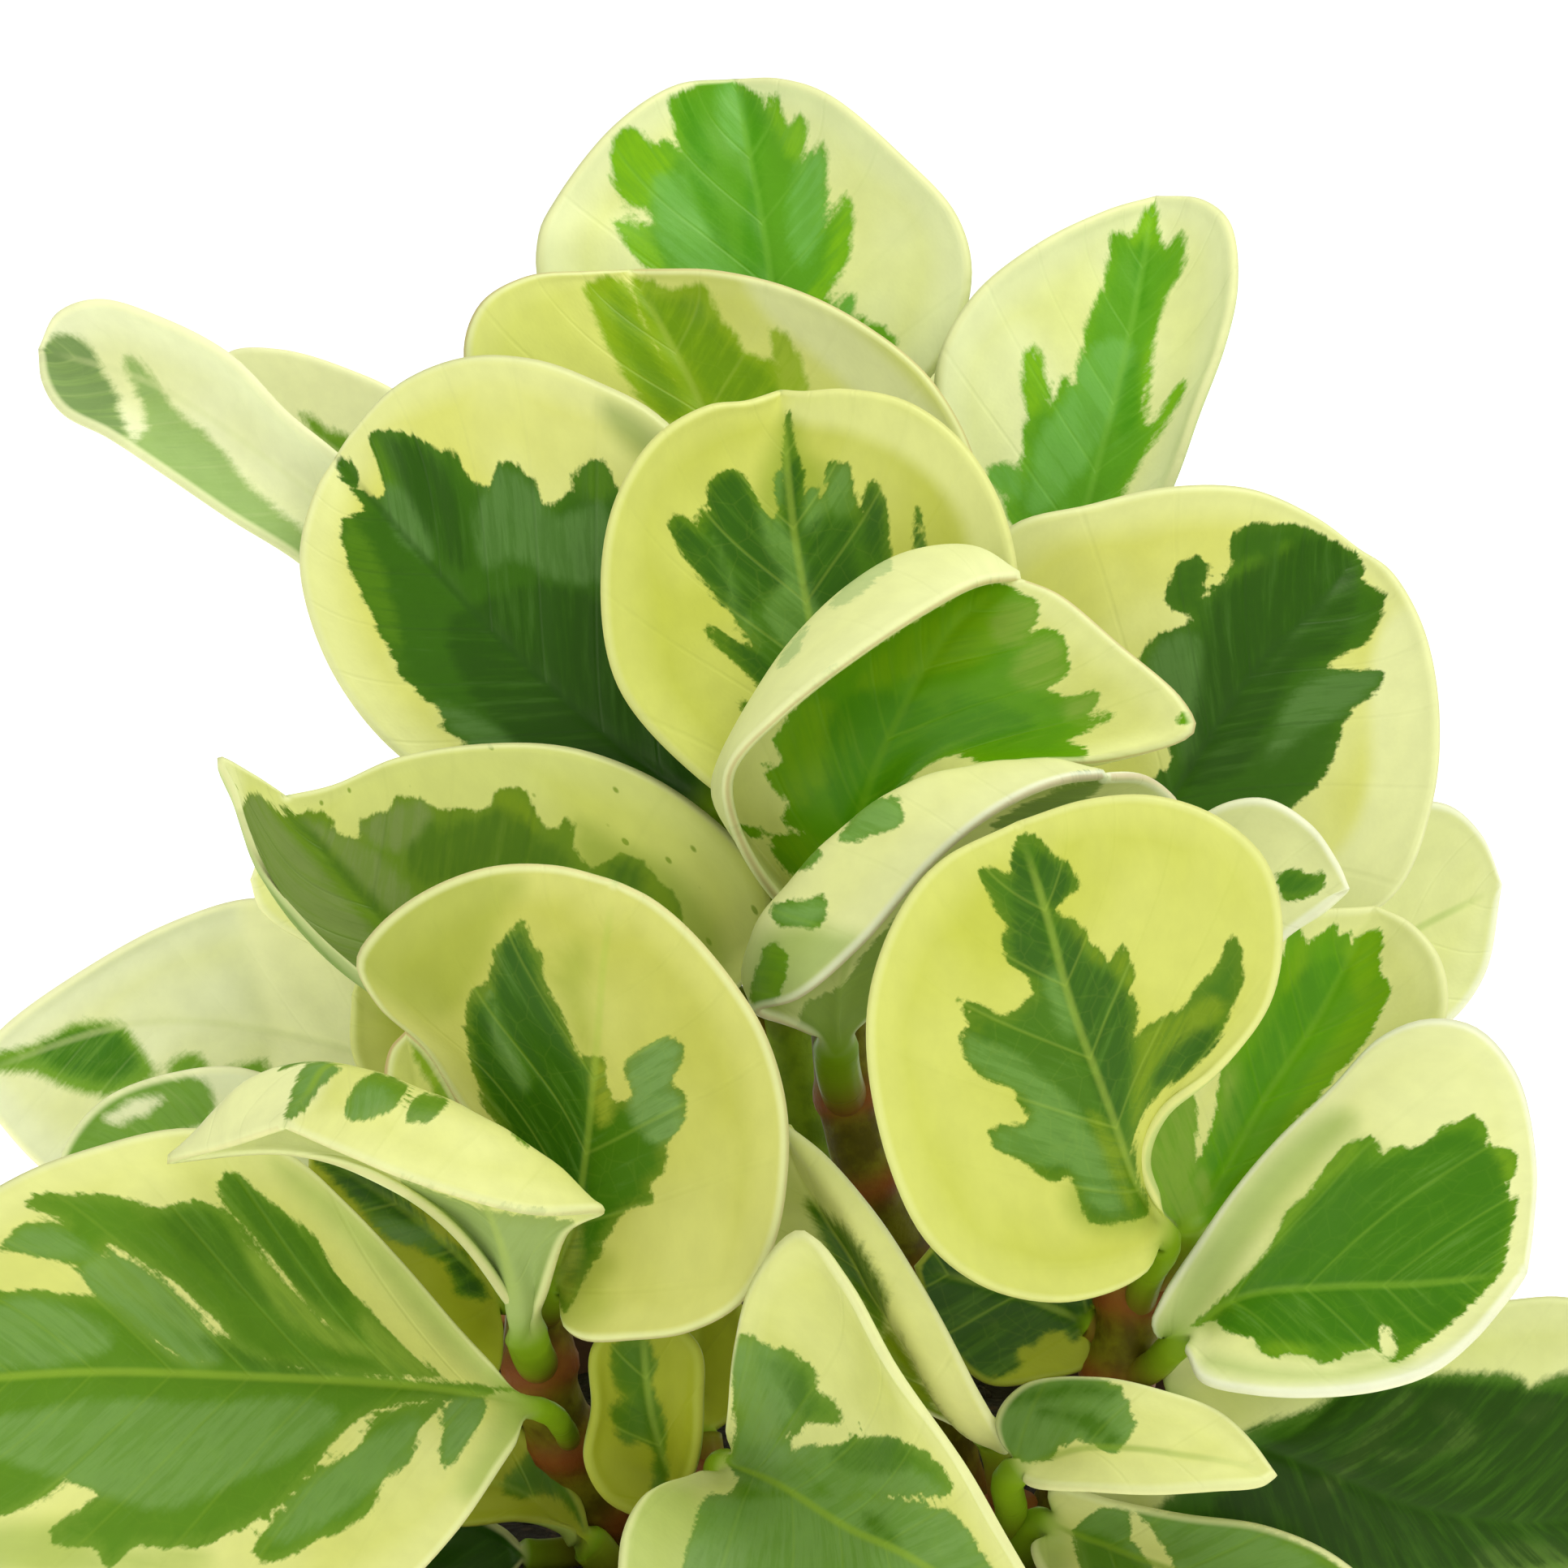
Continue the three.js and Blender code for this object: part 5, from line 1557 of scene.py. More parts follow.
@dataclass(frozen=True)
class ClayFinish(Finish):
    """Fired clay, with darker damp stretches, a pale lime bloom and a fine grain."""

    name: str = "fired_clay"
    clay: Colour = paint("ba6c48")
    light: Colour = paint("cc8460")
    damp: Colour = paint("965438")
    bloom: Colour = paint("dabea6")
    inner_wall_dark: Colour = paint("3a281c")
    roughness: float = 0.86

    def lay(self, n: Nodes) -> None:
        """Lays out the finish.

        Args:
            n: the material's nodes.
        """
        place = n.places()
        colour = n.mix(n.ramp(n.cloud(place, 22, 5), 0.35, 0.68), self.clay, self.light)
        colour = n.mix(n.ramp(n.cloud(place, 9, 3), 0.5, 0.72, 0, 0.6), colour, self.damp)
        colour = n.mix(n.ramp(n.cloud(place, 48, 6, 0.7), 0.6, 0.74, 0, 0.4), colour, self.bloom)
        # Darker on the inner wall above the soil.
        inner = n.maths("MULTIPLY", n.ramp(n.off_axis(place), 60.2 * MM, 58.6 * MM, 0, 0.9),
                        n.ramp(n.rise(place), 94 * MM, 98 * MM))
        colour = n.mix(inner, colour, self.inner_wall_dark)
        grain = n.cloud(place, 1400, 4, 0.65)
        colour = n.shade(colour, n.ramp(grain, 0.25, 0.75, 0.93, 1.05))
        rough = n.ramp(grain, 0.2, 0.8, self.roughness - 0.06, self.roughness + 0.06)
        n.set(Base_Color=colour, Roughness=rough)
        n.relief(grain, 0.3, 0.4 * MM)


@dataclass(frozen=True)
class SoilFinish(Finish):
    """Dark peaty soil with paler crumbs."""

    name: str = "peat_soil"
    peat: Colour = paint("221a14")
    crumb: Colour = paint("4a3828")
    roughness: float = 0.95

    def lay(self, n: Nodes) -> None:
        """Lays out the finish.

        Args:
            n: the material's nodes.
        """
        place = n.places()
        colour = n.mix(n.ramp(n.cloud(place, 420, 5, 0.7), 0.5, 0.72), self.peat, self.crumb)
        n.set(Base_Color=colour, Roughness=self.roughness)
        n.relief(n.maths("ADD", n.cloud(place, 600, 5, 0.7), n.cells(place, 700)), 0.8, 1.2 * MM)


@dataclass
class Studio:
    """A pale floor, soft lights and the camera at the front drawing's angle."""

    floor_size: float = 12.0
    floor_colour: Colour = paint("fafafa")
    floor_shade: Colour = paint("f7f7f7")
    floor_glow: float = 0.62
    sky: float = 0.47
    aim: Point = (0, 0, 0.18)
    lights: tuple = (("key_light", (0.45, 0.05, 1.15), 0.7, 7.6),
                     ("fill_light", (-0.9, -0.8, 0.7), 0.8, 3.6),
                     ("front_light", (0.3, -1.2, 0.5), 0.9, 2.2))
    frame_width: float = 193.2
    sensor: float = 36.0

    def floor(self) -> None:
        """Lays the floor under the pot."""
        bm = bmesh.new()
        bmesh.ops.create_grid(bm, x_segments=4, y_segments=4, size=self.floor_size / 2)
        piece = bpy.data.objects.new("studio_floor", finished_mesh(bm, "studio_floor"))
        bpy.context.scene.collection.objects.link(piece)
        n = Nodes("studio_floor")
        colour = n.mix(n.cloud(n.places(), 3), self.floor_colour, self.floor_shade)
        n.set(Base_Color=colour, Roughness=0.9, Emission_Color=colour, Emission_Strength=self.floor_glow)
        piece.data.materials.append(n.material)

    def light(self, name: str, place: Point, size: float, power: float) -> None:
        """Hangs a square soft light that faces the plant.

        Args:
            name: the light's name.
            place: where it hangs, in metres.
            size: its side in metres.
            power: its power in watts.
        """
        lamp = bpy.data.lights.new(name, "AREA")
        lamp.size = size
        lamp.energy = power
        piece = bpy.data.objects.new(name, lamp)
        piece.location = place
        aim = Vector(self.aim) - Vector(place)
        piece.rotation_euler = aim.to_track_quat("-Z", "Y").to_euler()
        bpy.context.scene.collection.objects.link(piece)

    def build(self) -> None:
        """Sets up the floor, the lights, the sky and the camera."""
        self.floor()
        for light in self.lights:
            self.light(*light)
        world = bpy.data.worlds.new("studio_sky")
        world.use_nodes = True
        sky = world.node_tree.nodes["Background"]
        sky.inputs["Color"].default_value = (1, 1, 1, 1)
        sky.inputs["Strength"].default_value = self.sky
        bpy.context.scene.world = world
        bpy.context.scene.view_settings.view_transform = "Standard"
        camera = bpy.data.cameras.new("front_camera")
        camera.sensor_width = self.sensor
        camera.lens = self.sensor * VIEW.distance / self.frame_width
        camera.clip_start = 0.05
        piece = bpy.data.objects.new("front_camera", camera)
        piece.location = Vector(VIEW.centre + VIEW.near * VIEW.distance) * MM
        piece.rotation_euler = (math.pi / 2 - VIEW.tilt, 0, 0)
        bpy.context.scene.collection.objects.link(piece)
        bpy.context.scene.camera = piece


@dataclass(frozen=True)
class Dress:
    """How one front leaf is coloured.

    A tone's outlines are drawn points, across,down in millimetres, with a slash between two outlines. The
    outlines of dark, grey and lime are green as well.
    """

    tint: Tint
    green: str = ""
    dark: str = ""
    grey: str = ""
    lime: str = ""
    pale: str = ""
    faint: str = ""
    bare: str = ""
    brown_rim: float = 0.06
    petiole_radius: float = 2.0

    def patches(self) -> list[Patch]:
        """Reads the outlines.

        Returns:
            The leaf's patches, the green ones first.
        """
        found = []
        for tone in Tone:
            for text in getattr(self, tone.value).split("/"):
                outline = drawn_points(text)
                if outline:
                    found.append(Patch(tone, outline))
        return found


DRESSES = {
    "leaf_crown_back": Dress(Tint.BLUISH, green="""
    80,32.6 79.4,30.3 77.5,28.8 75,27.2 77.5,27.6 79.3,28.4 80.2,27.3 78.5,25.4 76.3,24 75.4,22.5
    76.3,21.2 75.2,19.3 75.3,17 76.5,15.6 78.6,16.1 80,18 82,17.3 83.3,18.8 82.6,15.5 82.2,12 84.8,10.8
    86,9.8 89,9.4 91,9.9 92.5,11 94.2,11.8 94.6,13.5 96,11.5 96.8,14 97.6,15.2 98.6,14 99.8,15 99.7,17
    99,19 100,20.5 101.2,17.5 101.9,18.2 102.1,21 102.2,25 101.5,28 103,26 104.8,24.2 105.5,26 105.2,29
    104.4,33 102,37 104,40 103,46 98,50 90,50 84,44 /106,39.5 108.5,40.2 110.6,42 109.5,43.6 106.5,42.5""",
        dark="""
    91.4,40 91.5,30 92.4,20 93.4,20 94.2,30 96.5,40 /83.5,12 85.6,14 87.6,20 86.4,21 84.4,17 /85,22 87,23
    90,31 88.8,31.5 /92.2,12 94,13 94,18 92.6,18""", grey="""
    80,23 84,22 88,30 92,35 88,36 82,31 /98.5,20 101.5,19 101.8,27 99,33 97,28 /88,10.5 91,11 92,18
    89.5,18 /103,37.8 105.5,36 105,39.5 103.5,40""", lime="""
    75,19 76.5,15.6 80,17.5 82.5,20 81.5,24 78.5,26 75.5,23 /75,27.2 79,28.2 82,34 79,33 /101.5,34
    104,24.5 105.5,26 104,33 100.5,38 99.5,36 /95,12 96.8,14 97.6,15.2 99.8,14.6 99,20 96.5,18"""),
    "leaf_crown_wide": Dress(Tint.SUNLIT, green="""
    71.8,36 72.3,34.8 74.5,34.2 77.4,35.4 79.2,39.4 81.7,44 84.4,48.6 87,51.5 82.5,52.5 80,50.5 77.5,47.5
    75,43 73.2,39 /77.8,34.6 80.5,34.4 83,35.5 85.5,34.8 87.6,35.4 88.2,37.5 89,39.5 90.8,41 91.5,43
    93.5,44 95.5,45 96.5,47 96.3,50.4 92,52 86,52 83.4,48.6 81,44 78.4,38 /95.5,41 97,42.5 98.5,45 99.2,50
    96.8,50.4 96.2,46""", dark="""
    79.2,37 83,37 86,37 88,40 91,43.5 95,47 95,50.4 90,50.4 87,48 83,42 /75,37 77,37.5 80,43 84,49.5
    82.5,51 78.5,46""", grey="94.8,40.5 97,41.5 99,45 99.6,50.4 96.6,50.4 96,46",
        pale="92,34 97,35.4 105,40 113,48 119,56 115,58 108,51 101,44 95,39", brown_rim=0.45),
    "leaf_upper_left_rolled": Dress(Tint.WASHED, green="""
    5,45 7,42 9.8,42 12,44.6 14,48.5 16,55.5 11,54 6,50 /15.8,43.8 17.5,44.5 20,48 22,51 25,53.3 27,55.5
    29,58.5 31.5,61 34.5,63.5 38,66 38,70.5 33,67.5 27,64 21,59.5 17,56 15.4,54.5 18,53.2 17.2,49 15.7,46""",
        dark="4.5,44 7,41 10.6,42 13,46 15.6,52.5 13,55 8,52.5 4.8,48",
        grey="16,44 20,48 22,51 27,55.5 31.5,61 38,66 38,71 28,65 15.6,55 18,53.2",
        bare="14.4,49 15.4,48.4 17.2,53.4 15.8,54.2"),
    # Painted light: the pale patch covers the whole blade and lifts a leaf that faces away from the lamps.
    "leaf_upper_left_pale": Dress(Tint.WASHED,
        green="37.2,51 38.5,51.4 41,53 43.6,54 43.5,57 40.5,56 38.6,53.5",
        pale="24,40 50,40 56,60 44,70 34,60"),
    "leaf_upper_right_long": Dress(Tint.BLUISH, green="""
    125.5,66 123.6,62 125.2,58.8 125.7,55 126.3,50.7 125.7,47 126,43.8 127.3,42.5 128.3,44.2 128.6,46.5
    129.3,50 130.2,48.5 131,46.2 132,47.5 132.6,46 133.3,42 133.8,39.5 135,37 136,34.5 136.3,31 136.3,29
    137.5,28.4 139.3,29.3 140.2,27.4 141.3,25.2 142.6,25.2 142.9,28 143.8,31 145.3,29.2 146.4,28.8
    146.4,31.5 145.5,34.3 144,36.5 143,40 142,44.5 141.2,48 141,51.5 142,52.5 143.5,50.5 145,48 146.3,47.3
    145.8,49.5 143.5,52.8 141.5,56 139.5,59.5 137,63 131,68 /121.3,58 123.5,57 125,58.5 124.5,62 122,60""",
        dark="""
    140.3,30 141.1,30 141.4,37 140.4,38 139.6,34 /138.2,47 140,45 140.5,51 139,54 137.8,53""", grey="""
    133.5,44 137,42 139.8,44 137,52 131,61 126.6,63 128,54 131,50 /121.3,58 123.5,57 125.6,58.5 125,62
    122,60""", lime="""
    139.2,30 140.4,27 141.3,25.2 142.6,25.2 142.8,28.5 141.8,30.5 /126,44 127.3,42.5 128.3,44.2 128.5,49.5
    126.3,51 /143,52 145,48 146.3,47.3 144.6,51.5 141.5,56 /141.2,44 142.2,43 141.6,51 140.9,51"""),
    # Its faint patch is painted shade, where the blade lies under the centre round leaf.
    "leaf_left_dark": Dress(Tint.DEEP, green="""
    41.2,57.6 42.6,56.4 44.4,58.5 43.9,60 46.3,61.3 47.8,60.6 47,57.5 45.6,53.9 47.4,53 49.6,53.2 52,54.3
    55,56 56.2,55.3 57.2,57.8 60,60.3 61.3,59.3 61.7,57 63.4,57 65,58.8 66.2,59.4 66.6,61.8 68.2,62.3
    70,60.8 71.6,60 71,57.8 73.4,58.2 74.3,56.5 75.4,59.5 77,60.6 82,60 95,80 93,100 80,104 66,101 61,93
    57,91.6 53.8,89.3 56,88.6 53,86.6 50,84 48,80.5 46,76.5 44.4,72.5 42.6,68.5 42,64.5 43.8,63.6
    44.8,62.6""", dark="""
    55,78 60,74 68,72 76,76 88,92 92,100 86,104 72,98 60,88 /48,55 51,54.5 56,60 58,70 54,68 50,60 /84,86
    90,94 92,100 82,104 76,98""", grey="""
    58.5,64 60,60.6 62,57.6 66,60.6 69,64 74,62 76,70 70,72 64,69 60,70 /47.4,61 49.5,60 53,65 53,69 49,66
    /54,87 60,89 64,92 58,91.8""", lime="""
    43,64 47,70 49.5,80 47,78 44,72 42.6,68.5 /46,54.6 47.2,55 49,59.6 47.8,60.6 /70.5,58 74.3,56.8
    76,60.5 73,62 71.6,60.4""", faint="74.5,49.4 79.6,51.8 84.6,57.6 83,59.8 79,56.6 75,52.6"),
    "leaf_centre_round": Dress(Tint.LIME, green="""
    82.3,64.5 83,63.5 84.5,63.6 85.8,64.8 86.4,62.3 87.4,63.4 86.8,60 88,58.5 90,57.8 91.6,58.4 92.8,60.5
    94,63 95,64.4 95.8,62.5 96.2,58.4 96.5,54 97.1,51 97.7,51 97.9,54 98.5,56.4 99.2,58.4 99.4,61.6
    100.6,62.6 101.6,61 102,57.5 103.3,56.8 104.6,57.2 105.5,60 106.2,63.4 106.8,60.5 107.3,59.2
    108.6,60.3 109.6,63 109.9,66.5 110.2,70 110.5,80 108,95 103,103 98,96 95,92 91.8,89 90.5,85.5
    92.5,86.6 93.6,85.2 91,82.5 88,79.5 86.5,77.5 88.5,77.7 91,79.5 92.4,79.4 90.5,77 89,74 86,71 83.5,68
    /112.5,69 113,62.4 113.9,64 114.6,68 114.2,71 112.8,71""", dark="""
    87,61 89,58.6 91.2,59 92.8,62.5 94.5,67.5 96.5,72 93,74.5 91,76.5 90.6,71 88,66 /96.8,58 98.6,57
    98.9,62 97.8,66 96.5,62 /100.5,64.5 103,63.8 105,65 105.2,72 103,76 100,74 99.3,68 /106.6,60.8
    108.2,61.5 109.2,66 108.6,69 106.6,67 /83,65 85,65.4 88,67.4 89.6,71 90.4,76 86.5,72 83.8,68 /90,79
    95,82 99,87 100,94 96,88 /112.8,66 113.4,64 114,69 113,70""",
        pale="98,48 106,48 113,51 120,56 125,64 125,76 121,74 119,64 113,57 105,53 98,51.6", faint="""
    92.6,64 93.4,58.6 95,54.4 96.6,51.6 98.6,52 99.8,55.6 102.4,58 103.6,63 100,66 95,66""", grey="""
    93.4,63 95.5,66 97.5,71 98.8,76 99.8,82 97,80 94,75.5 95.5,71.5 93.8,68 /99.6,60 101.6,62 101,66
    99,64.5 /102.3,58.4 104.3,57.5 105.3,62 103.5,64 101.8,61.5 /88,66.5 90.2,71 91.8,75.5 93.6,80
    91.4,77.5 89,73 /95.4,58.6 96.6,58.4 96.4,62 95.6,62 /95.4,64 97,66 100.6,72 103,84 105,96 101,92
    98.4,80 96,72"""),
    "leaf_centre_hood": Dress(Tint.BRIGHT, green="""
    125.5,72.5 128,74 127.5,76.5 126.5,78.5 128.8,77.3 131,78.3 131.8,80.5 131.8,83 129.3,84.8 130.5,85.8
    133,85.5 135.7,85 134.5,88 133,89.2 135.5,88.2 138,87.6 136.8,89 133.5,90.5 131.5,92 134.3,92.2
    133.5,94.3 129,94.4 122,94.6 118,93.2 113,95.5 110,100 104.5,110 101,110 97,107 95.2,104 97.5,103.4
    99.2,102.5 96.5,101 97.5,98.8 96,97 93.6,94.2 95.5,94.6 96.5,93.5 95.3,91.5 95.6,90 97.6,90.3 96.8,88
    99,86.4 101,84.2 106,80.8 112,77 118,73.4 122,71.8 /95.8,83 98,79.4 100,77.6 98,82 /145.2,88.6
    146.6,87.8 147.2,89.4 145.6,89.6""", dark="""
    104,86 112,86 118,90 112,96 106,104 103,100 102,92 /118,86 124,87 128,90 122,92 116,91""", grey="""
    125,73.5 128,74.5 127.6,77 126,79.5 123,79 122.5,76 /127.5,79 130.5,79 131.3,82.5 128,85 124.5,83.5
    /132,86 135.6,85.2 133.8,88.4 131,88.4 /133.5,89.8 138,87.6 134,90.4 /102.4,75.4 105.6,71 109,69
    110.2,70 107.5,72.6 104.8,74.6""", lime="""
    112,78 118,74.4 122,72.8 125,74 125,78 120,82 114,83 106,85 108,81 /96,90 101,86 105,90 103,96 98,97
    /95,103 101,103 104,108 100,108 /90.5,101.8 93,101.4 94.5,102.5 92,103.2
    /94,94.6 98,96 100,99 97,98.6""",
        brown_rim=0.45),
    "leaf_right_dark": Dress(Tint.DEEP, green="""
    139.5,85 141,80.5 143,78 146,77 147,76 144.5,75.4 143.3,74 144.3,71 145.5,69.2 147.5,68.6 148.8,68.9
    148.7,71 148,73.5 149.6,72.5 151.5,70.3 151.3,67.5 152,65.5 154.5,64.5 158.5,64.4 161.5,65.2 165,67
    167.5,68.8 168.3,70 168,71.5 169.8,72.8 170.8,73.2 170.2,76.5 168,79.5 165.5,80.7 163.5,82.3
    167.5,82.6 170,82.7 170.2,84.5 167.5,86.8 165.8,88.8 164.6,92.5 162.5,96.5 160,99 150,106 142,104
    141,97 144.5,93.5 141.5,89.5""", dark="""
    150,73 153,70.5 158,68 162,66 166.5,69 167,75 165,80 160,82 157,87 153,95 146,97 147,88 148.5,80""",
        grey="""
    141.5,82 145,78 148,80 148,90 146,94 144.5,88 /161,84 165,83 170,83.2 166,87.5 160,91 156,94 158,88
    /155.5,83 164,72.6 165,73 157,82""", lime="""
    151.2,70 155,68.6 156,70 151.5,72.4 /157,67 159,67 159,69 157.4,69.4 /139,84 141,80 142.6,79 141.6,84""",
        pale="169,82 172,76 178,76 179,92 177,104 171,113 161,116 158,112 166,104 169,95"),
    "leaf_centre_curled": Dress(Tint.PALE, green="""
    103.7,103.8 105,101.5 107,99.6 109.5,98.6 111.2,98.6 110.8,100.5 111.2,101.8 109.5,102.6 107,103
    105,103.8 /95.6,112.5 97.5,110.6 99.5,111 101.8,110.2 102.2,112 101,114.5 99,114 96.5,114.3
    /96.8,107.4 99.5,105.5 101.2,104.8 101.5,106 99.5,107.6 /99,124.6 102.5,122.6 106,119.4 109.4,114.6
    112,112.4 112,120 110,134 101,134 98,128""", dark="""
    122,102 124,99.8 127.5,98 131,96.5 134.5,95.6 136,95.8 133.5,98.4 130,100 126,101.6""", grey="""
    103.7,103.8 105,101.5 107,99.6 109.5,98.6 111.2,98.6 111.2,101.8 107,103.4 /95.6,112.5 99.5,111
    102.2,112 99,114 /96.8,107.4 99.5,105.5 101.5,106 /109,94.8 113,94.4 113,95.6 110,96""", lime="""
    94,118 96,116 97.5,119 95.6,124 93,123 /98,125 104,120.4 112,112 113,124 111,137 100,137""",
        # The faint patch is painted shade on the left side of the funnel.
        faint="93,116 99,113.6 104,114.6 107,116 103,120 99,123.4 93,124.6", brown_rim=0.45,
        petiole_radius=2.8),
    "leaf_left_folded": Dress(Tint.SPECKLED, green="""
    35.3,100.6 37.5,100 40,100.3 41,101.5 40.6,103 42,103.8 44,103.2 44.4,101 46.5,100.2 48,100.2
    48.4,98.6 51,98.1 53.5,99.5 56.5,99.8 59,99.8 60.5,99.2 60.9,97.5 62.8,97 64.8,97.6 65.8,99.8 67.5,102
    68.6,102.6 69,101.2 70.5,100.8 71,102 70.8,104.3 72,106.2 74,106.8 75.2,105.8 77,105.3 79,106 80,107.8
    80.8,109.4 82.5,109.4 83.6,112 84,116 80,120 70,122 60,126 52,124 45,117.6 40,112.8 35.4,107.6
    32.4,102.4 31.4,98 33.6,99.4""", dark="""
    50,104 56,102 62,99.6 66,103 70,106 66,110 58,108 52,109 /52.5,101.5 54.5,102.5 54,106 51,106 /75,107
    78,106.6 79.4,109 76,110 /34.9,99.9 35.9,100 41.6,105.8 48,112.6 47.2,113.4 40.7,106.5""", grey="""
    31,97.6 34,101.2 39,107 45.6,114.6 50,122 44,122 35,114 28,105 /37,101.2 40,102 45,104 50,109 52,114
    47,112 41,105.2 /44.5,101.6 51,98.6 53,101 50,105 45.5,103.6""",
        lime="60.9,98 63,97.2 65.6,100 66,103 63,102/79,106.4 83.6,112 84,116 80,112",
        pale="26,92 29,95 30.4,101 34,108 40,115 46,121 42,123 34,116 28,107",
        faint="71,101 77,104 83,107 88,113 90,119 84,121 76,114 71,107"),
    # The first faint outline, over the blade's upper left, is painted shade.
    "leaf_front_left_round": Dress(Tint.DUSKY, green="""
    63.9,112.7 65,114 65.6,116.2 66.8,117.4 67,120 68,122.5 69.2,124.6 70.4,127.5 71.5,129.8 73,130
    74.5,130.2 74.8,132 74.6,134.5 76,135.5 78.2,135.4 78.4,134 76.8,132 77,130.6 79.3,129.8 80.8,128.2
    83,127.6 84.6,128.8 84.2,131 83,132.8 84.5,134.8 84.9,137 83.5,139.5 82.2,142 82,144.6 80.3,146
    80.8,148.2 78.5,148.6 76.5,150 75,153 73,156.5 71,160.5 69.4,161 66.5,152 64,143 61.8,139 59.5,136
    58,131 57.3,126.5 57.6,123 58.8,120.8 60,121.8 60.5,118.6 60.6,116.5 62.2,115.4""", dark="""
    61,118 64,114.5 65.5,118.5 67.5,123.5 70,128.5 71.5,132 72.3,140 71,150 68,150 65,143 61.5,137 59,131
    58,125.5 59.4,123.6 61.5,128.4 64.6,134 66,132 62.4,126""", grey="""
    60.2,122 61.5,126 63.5,129.5 65,133.5 64.2,134.4 61.8,131.4 60,127 /77,130.6 80,128.5 83,127.8
    84.2,130 82.8,133.5 84.6,137 82,141 78,138 78,134""",
        lime="73,131 74.6,131 75.6,137 73.6,138/69,150 72,151 71,160 69,158", faint="""
    41,113 46,108.6 52,106.8 60,106.4 65,108.6 62,113 60,119 55,125.6 48,123.6 42,118.6 /66.6,117 68.4,119
    68.2,117 70,116.6 70.6,115.4 72.2,115.8 73.2,118.6 72.6,122 73.4,126 72.6,130.4 70.8,128 69,123.6
    67,120 /73,153 76.4,155.6 75,158.6 76,161 74,163.4 70.4,164 68.4,162 70,156""", brown_rim=0.3),
    "leaf_front_right_round": Dress(Tint.LIME, green="""
    125.2,103 127.9,103 129.5,105 131.5,106.2 133,109 131.5,110.6 129.8,111.8 130.6,112.5 132.5,113
    134,115.5 135.8,117 136.6,118.2 137.5,116.3 138.4,116.2 139.4,118.2 139.8,120.5 138.9,122 140,122.8
    140,125 139.4,128.5 141,126.4 144,124.8 145.6,124 146.6,122.8 147.4,121.2 149.2,119.8 150.6,117.8
    151.8,115.2 152.8,116 153.3,118.5 152.8,122 151.2,126 149.5,129 147,131.5 143.5,134 140.8,137
    139.5,141 140,145 141,149.5 137,150.6 133.8,150.4 132.6,147.6 131.4,145 129.5,145.8 127.5,144.4
    125.5,143.2 123,142 121.4,139.5 122.5,138.3 125.5,138.6 126.8,137.3 125.2,136 124.6,134.2 122,133.4
    119.5,131.8 118.6,129.8 117.8,127.9 119,127.2 120,127 119.3,126 118.4,124.2 117.4,122.6 119,123.2
    121,123.8 123.5,125 126,123.4 127.1,121.5 126,119.7 124.5,118.8 123.8,117.4 123.4,115.5 124,114.4
    122.5,112 120.8,109 120.5,107.2 122.3,106.8 124,107.6 124.6,106""", dark="""
    130.3,113 132.5,114.5 134.3,118.5 137.5,120.5 139,124 138.7,131 137.5,138 134.5,133 132,124 130.5,118
    /124.7,104.8 127,107 128.8,113.5 129.6,119.5 127.5,119.8 125,117.5 124.8,110 /128,105 131,107 132,109
    129.6,111.4 128,108 /142,133 144,129.5 147.5,126.8 150.4,127 148,130.4 144.5,133""", grey="""
    118.5,128 121,128.5 125,130 129.5,133.5 133,137.5 136,143 137.5,149 134,148 131.5,143.5 128,143.5
    123,141.5 122.5,139 127,138.5 126,135 120,131.5 /128.5,120 130.5,120 132.8,126.6 130.6,127""",
        faint="138.6,140 141,146 142,151 137,152 132,150.6 131,146", lime="""
    131,112.5 133.8,115 136,118 134.5,118.5 132,115.5 /140,131 141,127 146,124.5 149,122.5 151,124.5
    147,128 142.5,131.5 140.5,136 139.3,138 /137.2,117.5 139,117.5 139.5,121 137.6,121 /134,137 138,141
    139,149 136,144"""),
    "leaf_right_small": Dress(Tint.PALE, green="""
    157.2,107.6 159.5,107 161.8,107.6 163,107 163.2,109 161.5,110.5 158.3,111 157.4,109""",
        dark="157.6,107.8 160,107.6 162,108.4 160,110.4 158,110.4"),
    "leaf_right_pale": Dress(Tint.PALE),
    "leaf_right_bright": Dress(Tint.BRIGHT, green="""
    141,150 144.5,146 148.5,141 150,133 151.5,130 154,126 157,121 158.4,115 160,114.2 160.4,116.4
    161.4,115.4 163,114.4 164.6,113.6 164.8,115.2 166.4,114.6 166.6,116.4 168,115.8 170,114.4 170.6,116
    170.2,118.2 170.2,120 171.6,121.6 171,123.6 169.8,124.8 168.8,127.5 167,130 163,133.5 158,140 152,147
    148,155 144,158""", dark="152,134 156,127 160,120 164,118 166,120 160,128 155,136 150,144 149,142",
        grey="""
    150.5,133 152.5,131 152.6,139 150.3,142 /143,150 148,144 149,148 145,155 /140,148 140,141 142.6,135.4
    146.6,134.6 147.2,140 146.6,146 143,150.6""", lime="""
    158,122 159.4,116 161,116 160.4,121 /165,127 168.6,122 171.6,121.4 170,125.6 166,131 158,140 160,135
    /165.6,117 170,114.8 169.8,120 167.6,124""", petiole_radius=2.7),
    # The faint outlines along the left flap and the lower edge are painted shade.
